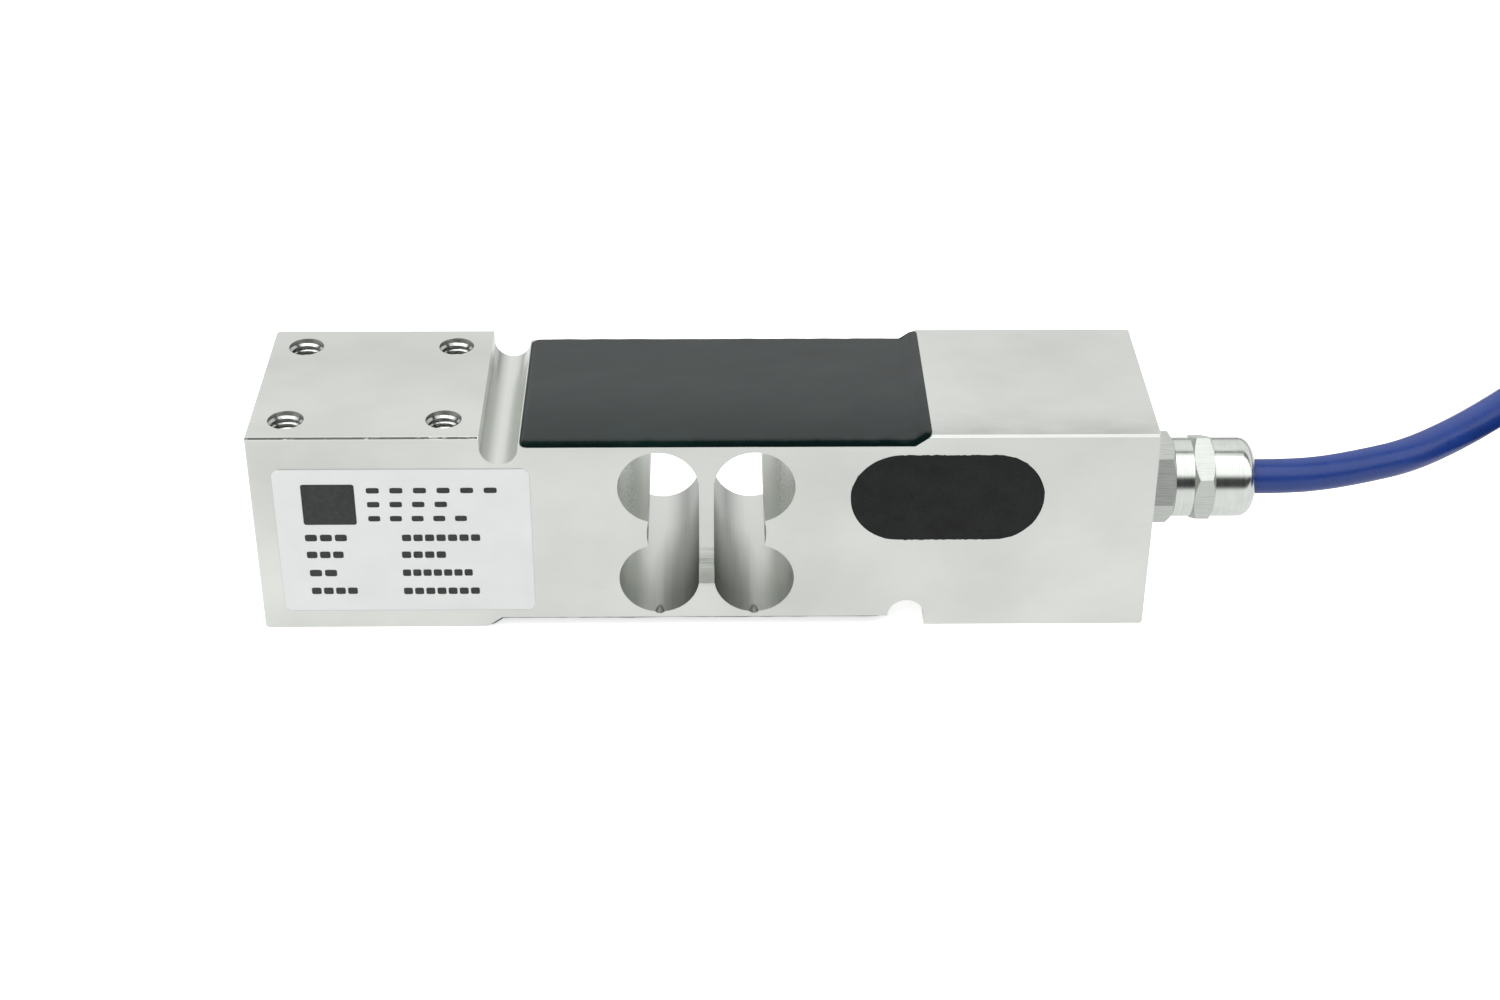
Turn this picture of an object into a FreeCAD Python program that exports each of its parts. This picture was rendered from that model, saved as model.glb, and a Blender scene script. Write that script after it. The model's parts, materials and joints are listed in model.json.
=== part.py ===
"""Single point load cell, in millimetres.

A milled aluminium block carries the load at one end and is screwed down at the other. Between them a twin
dog-bone opening leaves four thin flexures, which strain gauges measure from the recesses above and below.
Compound seals the gauges and the side pocket with its trim board, and a metal gland lets the cable out.

Frame: +X runs from the load end to the cable end, +Y from the label side to the back, +Z up.
The origin is the centre of the four tapped holes under the fixed end, on the underside.
"""
import FreeCAD, Part
import math
import os

Vec = FreeCAD.Vector
X_AXIS = Vec(1, 0, 0)
Y_AXIS = Vec(0, 1, 0)
Z_AXIS = Vec(0, 0, 1)

# ---- block and its tapped holes (M6) ----
BODY_L = 150.0
BODY_W = 37.5
BODY_H = 37.5
EDGE_BREAK = 0.35
HOLE_PITCH_X = 26.0
HOLE_PITCH_Y = 25.5
HOLE_INSET = 6.0        # from an end face to the nearest row of holes
TAP_R = 3.0
TAP_DEPTH = 13.0
DRILL_POINT = 59.0      # half angle of the drill's point, degrees

# ---- measuring section ----
FLEX_SHIFT = 0.3        # its middle lies this far past the block's middle
RECESS_DEPTH = 2.0
FIXED_BLOCK_L = 37.6    # full-height block, from the fixed end to the head of the slope
LOAD_BLOCK_L = 38.15    # and from the load end to the U-groove
SLOPE_RUN = 2.8
GROOVE_R = 3.15
LOBE_R = 6.75
WEB_T = 2.5
SLOT_W = 8.55
FLEXURE_T = 1.05
COUNTERBORE_R = 10.0
COUNTERBORE_DEPTH = 5.0
TRIM_R = 1.0
TRIM_DEPTH = 0.35       # of the filed nick at the face
TRIM_L = 3.0            # the nick runs out this far in
TRIM_RISE = 0.5         # by rising this much

# ---- side pocket and wire passages ----
POCKET_H = 16.4
POCKET_DEPTH = 20.0
POCKET_INSET = 18.55    # from the fixed end face to the pocket's end
POCKET_WALL = 3.7       # metal over the pocket
WIRE_HOLE_R = 1.5
WIRE_HOLE_SHIFT = 3.2   # from the groove under the beam
WIRE_HOLE_INSET = 3.7   # and from the pocket's other end
WIRE_HOLE_Y = 7.75      # from the label face

# ---- gauges, terminals, wires, board ----
GAUGE_L = 8.6
GAUGE_W = 6.0
GAUGE_T = 0.06
GRID_T = 0.04
GRID_LINES = 8
GRID_L = 3.4
GRID_PITCH = 0.5
TAB_L = 1.6
TAB_W = 1.8
STRIP_L = 3.0
STRIP_W = 7.0
STRIP_T = 0.08
PAD_T = 0.05
PAD_W = 1.1
STRIP_SHIFT = 16.5      # from the section's middle to the terminal strip
WIRE_R = 0.11
WIRE_SIDES = 6
WIRE_STRAIGHT = 0.6     # straight stretch at a wire's soldered end
SOLDER_T = 0.02
WIRE_SPACING = 0.45
WIRE_DETOUR = 1.2       # how far the far gauge's wires pass outside the near gauge
BOARD_H = 11.0
BOARD_INSET = 3.1       # from either end of the pocket to the board
BOARD_T = 1.0
BOARD_DEPTH = 9.5       # from the label face to the board's front
BOARD_CORNER_R = 1.5
BOARD_EDGE = 1.0        # from the board's upper or lower edge to the first wire
CHIP_L = 3.2
CHIP_W = 1.6
CHIP_T = 0.6
CHIP_CAP = 0.5
CAP_T = 0.05
CHIP_COUNT = 4
CHIP_START_GAP = 6.4    # from the board's end by the wires to the first chip
CHIP_END_GAP = 1.4      # and from the last chip to the board's other end

# ---- compound and label ----
FILM_T = 0.5
FILM_INSET = 0.2
FILM_CORNER_R = 1.8
LABEL_L = 42.4
LABEL_H = 27.95
LABEL_T = 0.12
LABEL_CORNER_R = 1.6
LABEL_INSET = 3.8       # from the load end face
LABEL_RISE = 3.65       # from the underside

# ---- cable and gland (M12 x 1.5) ----
CABLE_R = 3.05
CABLE_RISE = 0.8        # cable axis above the pocket's lower edge
CORE_R = 0.65
CORE_RING = 1.25        # from the cable's axis to each core's axis
CORE_COLOURS = ("red", "black", "green", "white")
BOARD_LEAD_X = (4.5, 1.0, -3.0, -6.5)   # where each core meets the board, from its middle
BOARD_LEAD_DROP = 1.6   # the cores' lanes lie this far under the board's middle
LANE_GAP = 4.3          # and this far behind the board
LANE_SPREAD = 1.5
CORE_SIDES = 8          # the thin cores are plain bars with flat sides
GLAND_THREAD_R = 6.0
GLAND_BORE_DEPTH = 12.0
LEAD_BORE_R = 3.5
FIT_GAP = 0.05
WASHER_R = 7.6
WASHER_T = 1.2
SHANK_L = 8.0
HEX_AF = 14.0
BODY_HEX_T = 4.8
BODY_HEX_TURN = 52.5    # a corner's angle from -Y towards +Z, degrees
COLLAR_R = 5.7
COLLAR_L = 8.0
SEAT_R = 4.7
SEAT_DEPTH = 6.2
SEAL_PROUD = 0.6
CLAMP_T = 0.9
NUT_R = 6.9
NUT_SKIRT_L = 3.2
NUT_HEX_T = 3.5
NUT_HEX_TURN = 26.1
NUT_DOME_L = 7.5
NUT_NOSE_L = 2.5
NUT_NOSE_RIM = 0.35
NOSE_POINTS = 6
HEX_CHAMFER = 30.0
CABLE_HOLE_GAP = 0.2
INLET_L = 30.0          # jacketed cable inside the gland, back from the nose

# ---- cable route, coil and free end ----
# Points of the cable's free run, from the gland's nose (hand chosen), before it joins the coil.
LEAD_ROUTE = [
    (6.2, 0.0, 0.0),
    (12.8, 1.1, -0.1),
    (20.6, 3.7, -0.2),
    (29.0, 7.0, -0.2),
    (37.6, 12.6, 0.1),
]
ENTRY_RUN = 36.0        # the last straight run, up to where the cable joins the coil's top turn
ENTRY_RISE = 3.15
ENTRY_IN_COIL = 25.5    # as much of that run belongs to the coil's solid
COIL_X = 137.9
COIL_Y = 11.5
COIL_MEAN_R = 36.0
COIL_COLUMNS = 2
COIL_LAYERS = 4
COIL_SLACK = 0.4
COIL_CHAMFER = 1.7      # stands for the round backs of the turns at the section's corners
COIL_HEADING = 39.3     # direction in which the cable reaches the coil, degrees
TAIL_ANGLE = 129.0      # where on the coil the tail leaves the last turn
TAIL_STEP = 24.0        # from one corner of the tail's route to the next
TAIL_CLIMB = (0.0, 0.25, 0.75, 1.0, 1.0, 1.0)   # share of its climb on to the coil, at each corner
TIE_T = 0.8
TIE_W = 5.0
TIE_GAP = 0.15
TIE_ANGLES = (-64.0, -170.0)
TIE_HEAD_L = 4.6
TIE_HEAD_W = 5.8
TIE_HEAD_T = 2.6
SLEEVE_T = 0.45
SLEEVE_GRIP = 7.0
SLEEVE_PROUD = 4.0
FREE_LEAD_ANGLES = (-15.0, -29.0, -40.0)
FREE_LEAD_FAN = (-3.4, -1.7, 3.4, 1.7, 0.0)
FAN_EARLY = 0.8         # share of the fan that is reached at the first of those angles
SCREEN_R = 0.45
TIP_R = 0.4
TIP_L = 6.0

# ---- places worked out from the sizes above ----
PATTERN_INSET = HOLE_INSET + HOLE_PITCH_X / 2
FIXED_END_X = PATTERN_INSET
LOAD_END_X = FIXED_END_X - BODY_L
LOAD_PATTERN_X = LOAD_END_X + PATTERN_INSET
FRONT_Y = -BODY_W / 2
BACK_Y = BODY_W / 2
MID_Z = BODY_H / 2
FLEX_X = LOAD_END_X + BODY_L / 2 + FLEX_SHIFT
TOP_FLOOR_Z = BODY_H - RECESS_DEPTH
GROOVE_X = LOAD_END_X + LOAD_BLOCK_L + GROOVE_R
SLOPE_HEAD_X = FIXED_END_X - FIXED_BLOCK_L
UNDER_HEAD_X = SLOPE_HEAD_X + 2 * FLEX_SHIFT    # turned over, it lies FIXED_BLOCK_L from the load end
WIRE_Z = TOP_FLOOR_Z + STRIP_T + PAD_T + SOLDER_T + WIRE_R
LOBE_X = WEB_T / 2 + LOBE_R
LOBE_Z = TOP_FLOOR_Z - FLEXURE_T - LOBE_R
UNDER_GROOVE_X = 2 * FLEX_X - GROOVE_X
WIRE_HOLE = Vec(UNDER_GROOVE_X - GROOVE_R - WIRE_HOLE_SHIFT, FRONT_Y + WIRE_HOLE_Y, 0)
POCKET_START_X = WIRE_HOLE.x - WIRE_HOLE_INSET
POCKET_END_X = FIXED_END_X - POCKET_INSET
POCKET_L = POCKET_END_X - POCKET_START_X
POCKET_X = (POCKET_START_X + POCKET_END_X) / 2
POCKET_Z = BODY_H - POCKET_WALL - POCKET_H / 2
BOARD_Y = FRONT_Y + BOARD_DEPTH
BOARD_START_X = POCKET_START_X + BOARD_INSET
BOARD_END_X = POCKET_END_X - BOARD_INSET
CHIP_PITCH = (BOARD_END_X - BOARD_START_X - CHIP_START_GAP - CHIP_END_GAP - CHIP_L) / (CHIP_COUNT - 1)
GLAND_Z = POCKET_Z - POCKET_H / 2 + CABLE_RISE
CABLE_HOLE_R = CABLE_R + CABLE_HOLE_GAP
BODY_HEX_X = FIXED_END_X + WASHER_T
COLLAR_X = BODY_HEX_X + BODY_HEX_T
NUT_X = COLLAR_X + FIT_GAP
NOSE_X = NUT_X + NUT_SKIRT_L + NUT_HEX_T + NUT_DOME_L
SEAT_X = COLLAR_X + COLLAR_L - SEAT_DEPTH
SEAL_END_X = COLLAR_X + COLLAR_L + SEAL_PROUD
COIL = Vec(COIL_X, COIL_Y, 0)
COIL_INNER_R = COIL_MEAN_R - COIL_COLUMNS * CABLE_R - COIL_SLACK
COIL_OUTER_R = COIL_MEAN_R + COIL_COLUMNS * CABLE_R + COIL_SLACK
COIL_TURN_R = COIL_MEAN_R + (COIL_COLUMNS - 1) * CABLE_R
COIL_LOW_Z = TIE_T + CABLE_R
COIL_HIGH_Z = COIL_LOW_Z + (COIL_LAYERS - 1) * 2 * CABLE_R
COIL_TOP_Z = COIL_HIGH_Z + CABLE_R + COIL_SLACK
TAIL_Z = COIL_TOP_Z + CABLE_R + SLEEVE_T + FIT_GAP


# ---- plain shapes ----
def block(x0, x1, y0, y1, z0, z1):
    return Part.makeBox(x1 - x0, y1 - y0, z1 - z0, Vec(x0, y0, z0))


def rod(start, end, radius):
    """A round bar between two points."""
    along = end - start
    return Part.makeCylinder(radius, along.Length, start, along)


def across(x, z, radius, y0=FRONT_Y - 1, y1=BACK_Y + 1):
    """A round cutter along Y, through the whole width unless told otherwise."""
    return rod(Vec(x, y0, z), Vec(x, y1, z), radius)


def prism_across(outline, y0, y1):
    """An outline of (x, z) points, extruded along Y."""
    corners = [Vec(x, y0, z) for x, z in outline]
    face = Part.Face(Part.makePolygon(corners + corners[:1]))
    return face.extrude(Vec(0, y1 - y0, 0))


def obround_across(x, z, length, height, y0, y1):
    """A slot with round ends that lies along X and is sunk along Y."""
    radius = height / 2
    reach = length / 2 - radius
    middle = block(x - reach, x + reach, y0, y1, z - radius, z + radius)
    ends = [across(x + side * reach, z, radius, y0, y1) for side in (-1, 1)]
    return middle.multiFuse(ends).removeSplitter()


def revolve_on_gland(outline):
    """An outline of (x, radius) points, turned about the gland's axis."""
    corners = [Vec(x, 0, GLAND_Z + radius) for x, radius in outline]
    face = Part.Face(Part.makePolygon(corners + corners[:1]))
    return face.revolve(Vec(0, 0, GLAND_Z), X_AXIS, 360)


def ring_on_gland(x0, x1, inner, outer):
    return revolve_on_gland([(x0, inner), (x1, inner), (x1, outer), (x0, outer)])


def half_turn(shape):
    """The same feature under the beam: turned half round about the measuring section's middle."""
    turned = shape.copy()
    turned.rotate(Vec(FLEX_X, 0, MID_Z), Y_AXIS, 180)
    return turned


def joined(solids):
    whole = solids[0].multiFuse(solids[1:]) if len(solids) > 1 else solids[0]
    return whole.removeSplitter()


# ---- round bars along a route ----
def route_edges(points):
    """Straight runs joined by tangent arcs, and the radii of those arcs."""
    points = [Vec(p) for p in points]
    edges = []
    radii = []
    start = points[0]
    for before, corner, after in zip(points, points[1:], points[2:]):
        arrive = (corner - before).normalize()
        leave = (after - corner).normalize()
        turn = arrive.getAngle(leave)
        shorter = min((corner - before).Length, (after - corner).Length)
        radius = 0.45 * shorter / math.tan(turn / 2)
        reach = radius * math.tan(turn / 2)
        inward = (leave - arrive).normalize()
        depth = radius / math.cos(turn / 2) - radius
        first = corner - arrive * reach
        last = corner + leave * reach
        edges.append(Part.LineSegment(start, first).toShape())
        edges.append(Part.Arc(first, corner + inward * depth, last).toShape())
        radii.append(radius)
        start = last
    edges.append(Part.LineSegment(start, points[-1]).toShape())
    return edges, radii


def bar_along(edges, radius):
    """A round bar along joined edges, the first of them straight."""
    start = edges[0].valueAt(edges[0].FirstParameter)
    section = Part.Wire(Part.makeCircle(radius, start, edges[0].tangentAt(edges[0].FirstParameter)))
    return Part.Wire(edges).makePipeShell([section], True, True)


def flat_sided_section(start, towards, radius, sides):
    along = (towards - start).normalize()
    aside = along.cross(X_AXIS + Y_AXIS + Z_AXIS).normalize() * radius
    over = along.cross(aside)
    turns = [2 * math.pi * i / sides for i in range(sides)]
    rim = [start + aside * math.cos(turn) + over * math.sin(turn) for turn in turns]
    return Part.makePolygon(rim + rim[:1])


def mitred_bar(points, radius, sides):
    """A thin bar with flat sides, mitred at the corners of its route."""
    section = flat_sided_section(points[0], points[1], radius, sides)
    return Part.makePolygon(points).makePipeShell([section], True, False, 1)


def swept_bar(points, radius, sides):
    """A thin bar with flat sides that bends smoothly along its route."""
    section = flat_sided_section(points[0], points[1], radius, sides)
    return Part.Wire(route_edges(points)[0]).makePipeShell([section], True, False)


def bent_wire(points):
    return mitred_bar(points, WIRE_R, WIRE_SIDES)


def cut_line(edge, share):
    """A straight edge in two, cut at a share of its length."""
    start, end = edge.Vertexes[0].Point, edge.Vertexes[1].Point
    middle = start + (end - start) * share
    return Part.makeLine(start, middle), Part.makeLine(middle, end)


# ---- beam ----
def recess(head_x):
    """The milled recess over the gauges: U-groove at one end, slope at the other, open to both sides."""
    above = BODY_H + 1
    rise = (above - TOP_FLOOR_Z) / RECESS_DEPTH
    foot_x = head_x - SLOPE_RUN
    outline = [(GROOVE_X, TOP_FLOOR_Z), (foot_x, TOP_FLOOR_Z),
               (foot_x + rise * SLOPE_RUN, above), (GROOVE_X, above)]
    floor = prism_across(outline, FRONT_Y - 1, BACK_Y + 1)
    groove = across(GROOVE_X, TOP_FLOOR_Z, GROOVE_R)
    wall = block(GROOVE_X - GROOVE_R, GROOVE_X, FRONT_Y - 1, BACK_Y + 1, TOP_FLOOR_Z, above)
    return [floor, groove, wall]


def trim_nick(x):
    """A small nick filed into the lower edge of a lobe, at the label face, to balance the flexures."""
    axis = Vec(x, FRONT_Y, BODY_H - LOBE_Z - LOBE_R - TRIM_DEPTH + TRIM_R)
    stroke = Vec(0, TRIM_L, TRIM_RISE)
    return rod(axis - stroke, axis + stroke, TRIM_R)


def measuring_opening():
    """Two mirrored dog-bone slots either side of a web, thinned by a counterbore from both faces."""
    cutters = []
    for side in (-1, 1):
        near = FLEX_X + side * WEB_T / 2
        far = near + side * SLOT_W
        low_z = BODY_H - LOBE_Z
        cutters.append(block(min(near, far), max(near, far), FRONT_Y - 1, BACK_Y + 1, low_z, LOBE_Z))
        for end in (-1, 1):
            lobe_z = MID_Z + end * (LOBE_Z - MID_Z)
            cutters.append(across(FLEX_X + side * LOBE_X, lobe_z, LOBE_R))
        cutters.append(trim_nick(FLEX_X + side * LOBE_X))
    cutters.append(across(FLEX_X, MID_Z, COUNTERBORE_R, FRONT_Y - 1, FRONT_Y + COUNTERBORE_DEPTH))
    cutters.append(across(FLEX_X, MID_Z, COUNTERBORE_R, BACK_Y - COUNTERBORE_DEPTH, BACK_Y + 1))
    return cutters


def tapped_holes(pattern_x, mouth_z, inward):
    """Four blind holes with a drill point, in a rectangle about pattern_x."""
    point = TAP_R / math.tan(math.radians(DRILL_POINT))
    holes = []
    for side_x in (-1, 1):
        for side_y in (-1, 1):
            mouth = Vec(pattern_x + side_x * HOLE_PITCH_X / 2, side_y * HOLE_PITCH_Y / 2, mouth_z)
            floor = mouth + Z_AXIS * inward * TAP_DEPTH
            holes.append(rod(mouth - Z_AXIS * inward, floor, TAP_R))
            holes.append(Part.makeCone(TAP_R, 0, point, floor, Z_AXIS * inward))
    return holes


def pocket_space():
    return obround_across(POCKET_X, POCKET_Z, POCKET_L, POCKET_H, FRONT_Y, FRONT_Y + POCKET_DEPTH)


def wire_hole(low_z, high_z):
    return rod(WIRE_HOLE + Z_AXIS * low_z, WIRE_HOLE + Z_AXIS * high_z, WIRE_HOLE_R)


def lead_bore():
    """The drilled way for the cores, from the gland's bore into the pocket."""
    start = Vec(POCKET_END_X - POCKET_H / 2, 0, GLAND_Z)
    return rod(start, Vec(FIXED_END_X - GLAND_BORE_DEPTH, 0, GLAND_Z), LEAD_BORE_R)


def beam_body():
    raw = block(LOAD_END_X, FIXED_END_X, FRONT_Y, BACK_Y, 0, BODY_H)
    raw = raw.makeChamfer(EDGE_BREAK, raw.Edges)
    cutters = recess(SLOPE_HEAD_X)
    cutters += [half_turn(cutter) for cutter in recess(UNDER_HEAD_X)]
    cutters += measuring_opening()
    cutters += tapped_holes(LOAD_PATTERN_X, BODY_H, -1)
    cutters += tapped_holes(0, 0, 1)
    cutters.append(obround_across(POCKET_X, POCKET_Z, POCKET_L, POCKET_H,
                                  FRONT_Y - 1, FRONT_Y + POCKET_DEPTH))
    cutters.append(wire_hole(RECESS_DEPTH - 1, TOP_FLOOR_Z + 1))
    cutters.append(lead_bore())
    cutters.append(rod(Vec(FIXED_END_X - GLAND_BORE_DEPTH, 0, GLAND_Z),
                       Vec(FIXED_END_X + 1, 0, GLAND_Z), GLAND_THREAD_R))
    return raw.cut(cutters).removeSplitter()


# ---- gauges, terminals and wires on the top recess floor (the lower set is the same, turned over) ----
def strain_gauge(x):
    """Foil gauge: a backing film with a folded grid and two solder tabs on it."""
    base_z = TOP_FLOOR_Z
    foil_z = base_z + GAUGE_T
    pieces = [block(x - GAUGE_L / 2, x + GAUGE_L / 2, -GAUGE_W / 2, GAUGE_W / 2, base_z, foil_z)]
    line_w = GRID_PITCH / 2
    grid_x = x - GAUGE_L / 2 + GRID_PITCH
    first_y = -GRID_PITCH * (GRID_LINES - 1) / 2
    for i in range(GRID_LINES):
        y = first_y + i * GRID_PITCH
        pieces.append(block(grid_x, grid_x + GRID_L, y - line_w / 2, y + line_w / 2, foil_z, foil_z + GRID_T))
    for i in range(GRID_LINES - 1):
        y = first_y + i * GRID_PITCH
        loop_x = grid_x if i % 2 else grid_x + GRID_L - line_w
        pieces.append(block(loop_x, loop_x + line_w, y, y + GRID_PITCH, foil_z, foil_z + GRID_T))
    for side in (-1, 1):
        tab_y = side * -first_y
        x1 = x + GAUGE_L / 2 - GRID_PITCH / 2
        pieces.append(block(grid_x, x1 - TAB_L, tab_y - line_w / 2, tab_y + line_w / 2,
                            foil_z, foil_z + GRID_T))
        inner = side * (-first_y - TAB_W + line_w)
        pieces.append(block(x1 - TAB_L, x1, min(inner, tab_y), max(inner, tab_y), foil_z, foil_z + GRID_T))
    return joined(pieces)


def tab_ends(x):
    """Where the wires start, over the middle of the two tabs of the gauge at x."""
    tab_x = x + (GAUGE_L - GRID_PITCH - TAB_L) / 2
    tab_y = GRID_PITCH * (GRID_LINES - 1) / 2 - TAB_W / 2
    return [Vec(tab_x, side * tab_y, WIRE_Z) for side in (-1, 1)]


def strip_pads():
    """The middle of each pad on the terminal strip, front to back."""
    pitch = STRIP_W / 4
    x = FLEX_X + STRIP_SHIFT
    return [Vec(x, (i - 1.5) * pitch, WIRE_Z) for i in range(4)]


def terminal_strip():
    x = FLEX_X + STRIP_SHIFT
    top = TOP_FLOOR_Z + STRIP_T
    pieces = [block(x - STRIP_L / 2, x + STRIP_L / 2, -STRIP_W / 2, STRIP_W / 2, TOP_FLOOR_Z, top)]
    for pad in strip_pads():
        pieces.append(block(x - STRIP_L / 2, x + STRIP_L / 2, pad.y - PAD_W / 2, pad.y + PAD_W / 2,
                            top, top + PAD_T))
    return joined(pieces)


def gauge_wires():
    """Four wires from the gauges' tabs to the terminal strip."""
    near = FLEX_X + LOBE_X
    far = FLEX_X - LOBE_X
    outside = GAUGE_W / 2 + WIRE_DETOUR
    pads = [pad - Vec(WIRE_STRAIGHT / 2, 0, 0) for pad in strip_pads()]
    wires = [bent_wire([tab, pad]) for tab, pad in zip(tab_ends(near), pads[1:3])]
    for side, tab, pad in zip((-1, 1), tab_ends(far), (pads[0], pads[3])):
        start = tab + Vec(TAB_L, 0, 0)
        out = Vec(near - GAUGE_L / 2, side * outside, tab.z)
        along = Vec(near + GAUGE_L / 2, side * outside, tab.z)
        before = pad - Vec(STRIP_L / 2, 0, 0)
        wires.append(bent_wire([tab, start, out, along, before, pad]))
    return wires


def lead_out_wires(first_z):
    """Four wires from the terminal strip down the wire hole, each on to the board a step below the last."""
    wires = []
    for i, pad in enumerate(strip_pads()):
        start = pad + Vec(WIRE_STRAIGHT / 2, 0, 0)
        clear = pad + Vec(STRIP_L / 2, 0, 0)
        over = Vec(WIRE_HOLE.x, WIRE_HOLE.y + (i - 1.5) * WIRE_SPACING, start.z)
        down = Vec(over.x, over.y, first_z - (3 - i) * 2 * WIRE_SPACING)
        wires.append(bent_wire([start, clear, over, down, Vec(down.x, BOARD_Y, down.z)]))
    return wires


def turned_over(shape):
    """The same piece against the lower recess floor."""
    return shape.mirror(Vec(0, 0, MID_Z), Z_AXIS)


def bridge_wires_top():
    return Part.makeCompound(gauge_wires() + lead_out_wires(POCKET_Z + BOARD_H / 2 - BOARD_EDGE))


def bridge_wires_bottom():
    first_z = BODY_H - (POCKET_Z - BOARD_H / 2 + BOARD_EDGE)
    return Part.makeCompound([turned_over(wire) for wire in gauge_wires() + lead_out_wires(first_z)])


# ---- trim board in the side pocket ----
def edges_along(shape, axis):
    return [edge for edge in shape.Edges
            if edge.tangentAt(edge.FirstParameter).cross(axis).Length < 1e-6 and edge.Length > 1e-6]


def round_corners(shape, radius, axis):
    """Rounds the straight edges of a block that run along one axis."""
    return shape.makeFillet(radius, edges_along(shape, axis))


def trim_board():
    plate = block(BOARD_START_X, BOARD_END_X, BOARD_Y, BOARD_Y + BOARD_T,
                  POCKET_Z - BOARD_H / 2, POCKET_Z + BOARD_H / 2)
    return round_corners(plate, BOARD_CORNER_R, Y_AXIS)


def trim_resistors():
    """Chip resistors in a row on the board's front, each with its two metal end caps."""
    chips = []
    for i in range(CHIP_COUNT):
        x = BOARD_START_X + CHIP_START_GAP + CHIP_L / 2 + i * CHIP_PITCH
        core = block(x - CHIP_L / 2, x + CHIP_L / 2, BOARD_Y - CHIP_T, BOARD_Y - CAP_T,
                     POCKET_Z - CHIP_W / 2 + CAP_T, POCKET_Z + CHIP_W / 2 - CAP_T)
        caps = [block(x0, x0 + CHIP_CAP, BOARD_Y - CHIP_T - CAP_T, BOARD_Y,
                      POCKET_Z - CHIP_W / 2, POCKET_Z + CHIP_W / 2)
                for x0 in (x - CHIP_L / 2, x + CHIP_L / 2 - CHIP_CAP)]
        chips.append(joined([core] + caps))
    return Part.makeCompound(chips)


def core_places():
    """Where the four cores lie in the cable's section, as (y, z) from its axis; nearest the board first."""
    off = CORE_RING / math.sqrt(2)
    return [(-off, -off), (-off, off), (off, -off), (off, off)]


def board_leads():
    """The four cores, from the jacket's end through the lead bore to the back of the board."""
    start_x = NOSE_X - INLET_L
    bore_x = POCKET_END_X - 2 * CORE_RING
    leads = []
    for (y, z), board_x in zip(core_places(), BOARD_LEAD_X):
        lane_y = BOARD_Y + BOARD_T + LANE_GAP + y * LANE_SPREAD
        lane_z = POCKET_Z - BOARD_LEAD_DROP + z * LANE_SPREAD
        lane_x = POCKET_END_X - POCKET_H / 2
        end_x = POCKET_X + board_x
        leads.append(mitred_bar([
            Vec(start_x, y, GLAND_Z + z), Vec(bore_x, y, GLAND_Z + z), Vec(lane_x, lane_y, lane_z),
            Vec(end_x, lane_y, lane_z), Vec(end_x, BOARD_Y + BOARD_T, lane_z)], CORE_R, CORE_SIDES))
    return leads


# ---- compound and label ----
def sealing_film(head_x):
    """A film of compound on the recess floor and up its end slope, with soft corners."""
    start = GROOVE_X + GROOVE_R + FILM_INSET
    foot_x = head_x - SLOPE_RUN
    slope = math.atan2(RECESS_DEPTH, SLOPE_RUN)
    upper = TOP_FLOOR_Z + FILM_T
    film = prism_across(
        [(start, TOP_FLOOR_Z), (foot_x, TOP_FLOOR_Z), (head_x, BODY_H),
         (head_x - FILM_T / math.sin(slope), BODY_H),
         (foot_x - FILM_T * math.tan(slope / 2), upper), (start, upper)],
        FRONT_Y + FILM_INSET, BACK_Y - FILM_INSET)
    plan = block(start, head_x, FRONT_Y + FILM_INSET, BACK_Y - FILM_INSET, TOP_FLOOR_Z - 1, BODY_H + 1)
    return film.common(round_corners(plan, FILM_CORNER_R, Z_AXIS))


def top_potting(buried):
    plug = wire_hole(POCKET_Z, TOP_FLOOR_Z).cut(pocket_space())
    return joined([sealing_film(SLOPE_HEAD_X), plug]).cut(buried)


def bottom_potting(buried):
    plug = wire_hole(RECESS_DEPTH, POCKET_Z).cut(pocket_space())
    return joined([half_turn(sealing_film(UNDER_HEAD_X)), plug]).cut(buried)


def pocket_potting(buried):
    return joined([pocket_space(), lead_bore()]).cut(buried)


def rating_label():
    left = LOAD_END_X + LABEL_INSET
    plate = block(left, left + LABEL_L, FRONT_Y - LABEL_T, FRONT_Y, LABEL_RISE, LABEL_RISE + LABEL_H)
    return round_corners(plate, LABEL_CORNER_R, Y_AXIS)


# ---- cable gland ----
def hexagon(x0, thickness, turn, chamfer_start):
    """A hexagon about the gland's axis, its corners turned off to a cone at its ends."""
    corner_r = HEX_AF / 2 / math.cos(math.radians(30))
    corners = []
    for i in range(6):
        angle = math.radians(turn + 60 * i)
        corners.append(Vec(x0, -corner_r * math.cos(angle), GLAND_Z + corner_r * math.sin(angle)))
    prism = Part.Face(Part.makePolygon(corners + corners[:1])).extrude(Vec(thickness, 0, 0))
    end_r = HEX_AF / 2 - FIT_GAP
    run = (corner_r - end_r) * math.tan(math.radians(HEX_CHAMFER))
    x1 = x0 + thickness
    outline = [(x0, 0), (x1, 0), (x1, end_r), (x1 - run, corner_r)]
    outline += [(x0 + run, corner_r), (x0, end_r)] if chamfer_start else [(x0, corner_r)]
    return prism.common(revolve_on_gland(outline))


def gland_washer():
    return ring_on_gland(FIXED_END_X, BODY_HEX_X, GLAND_THREAD_R, WASHER_R)


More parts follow.
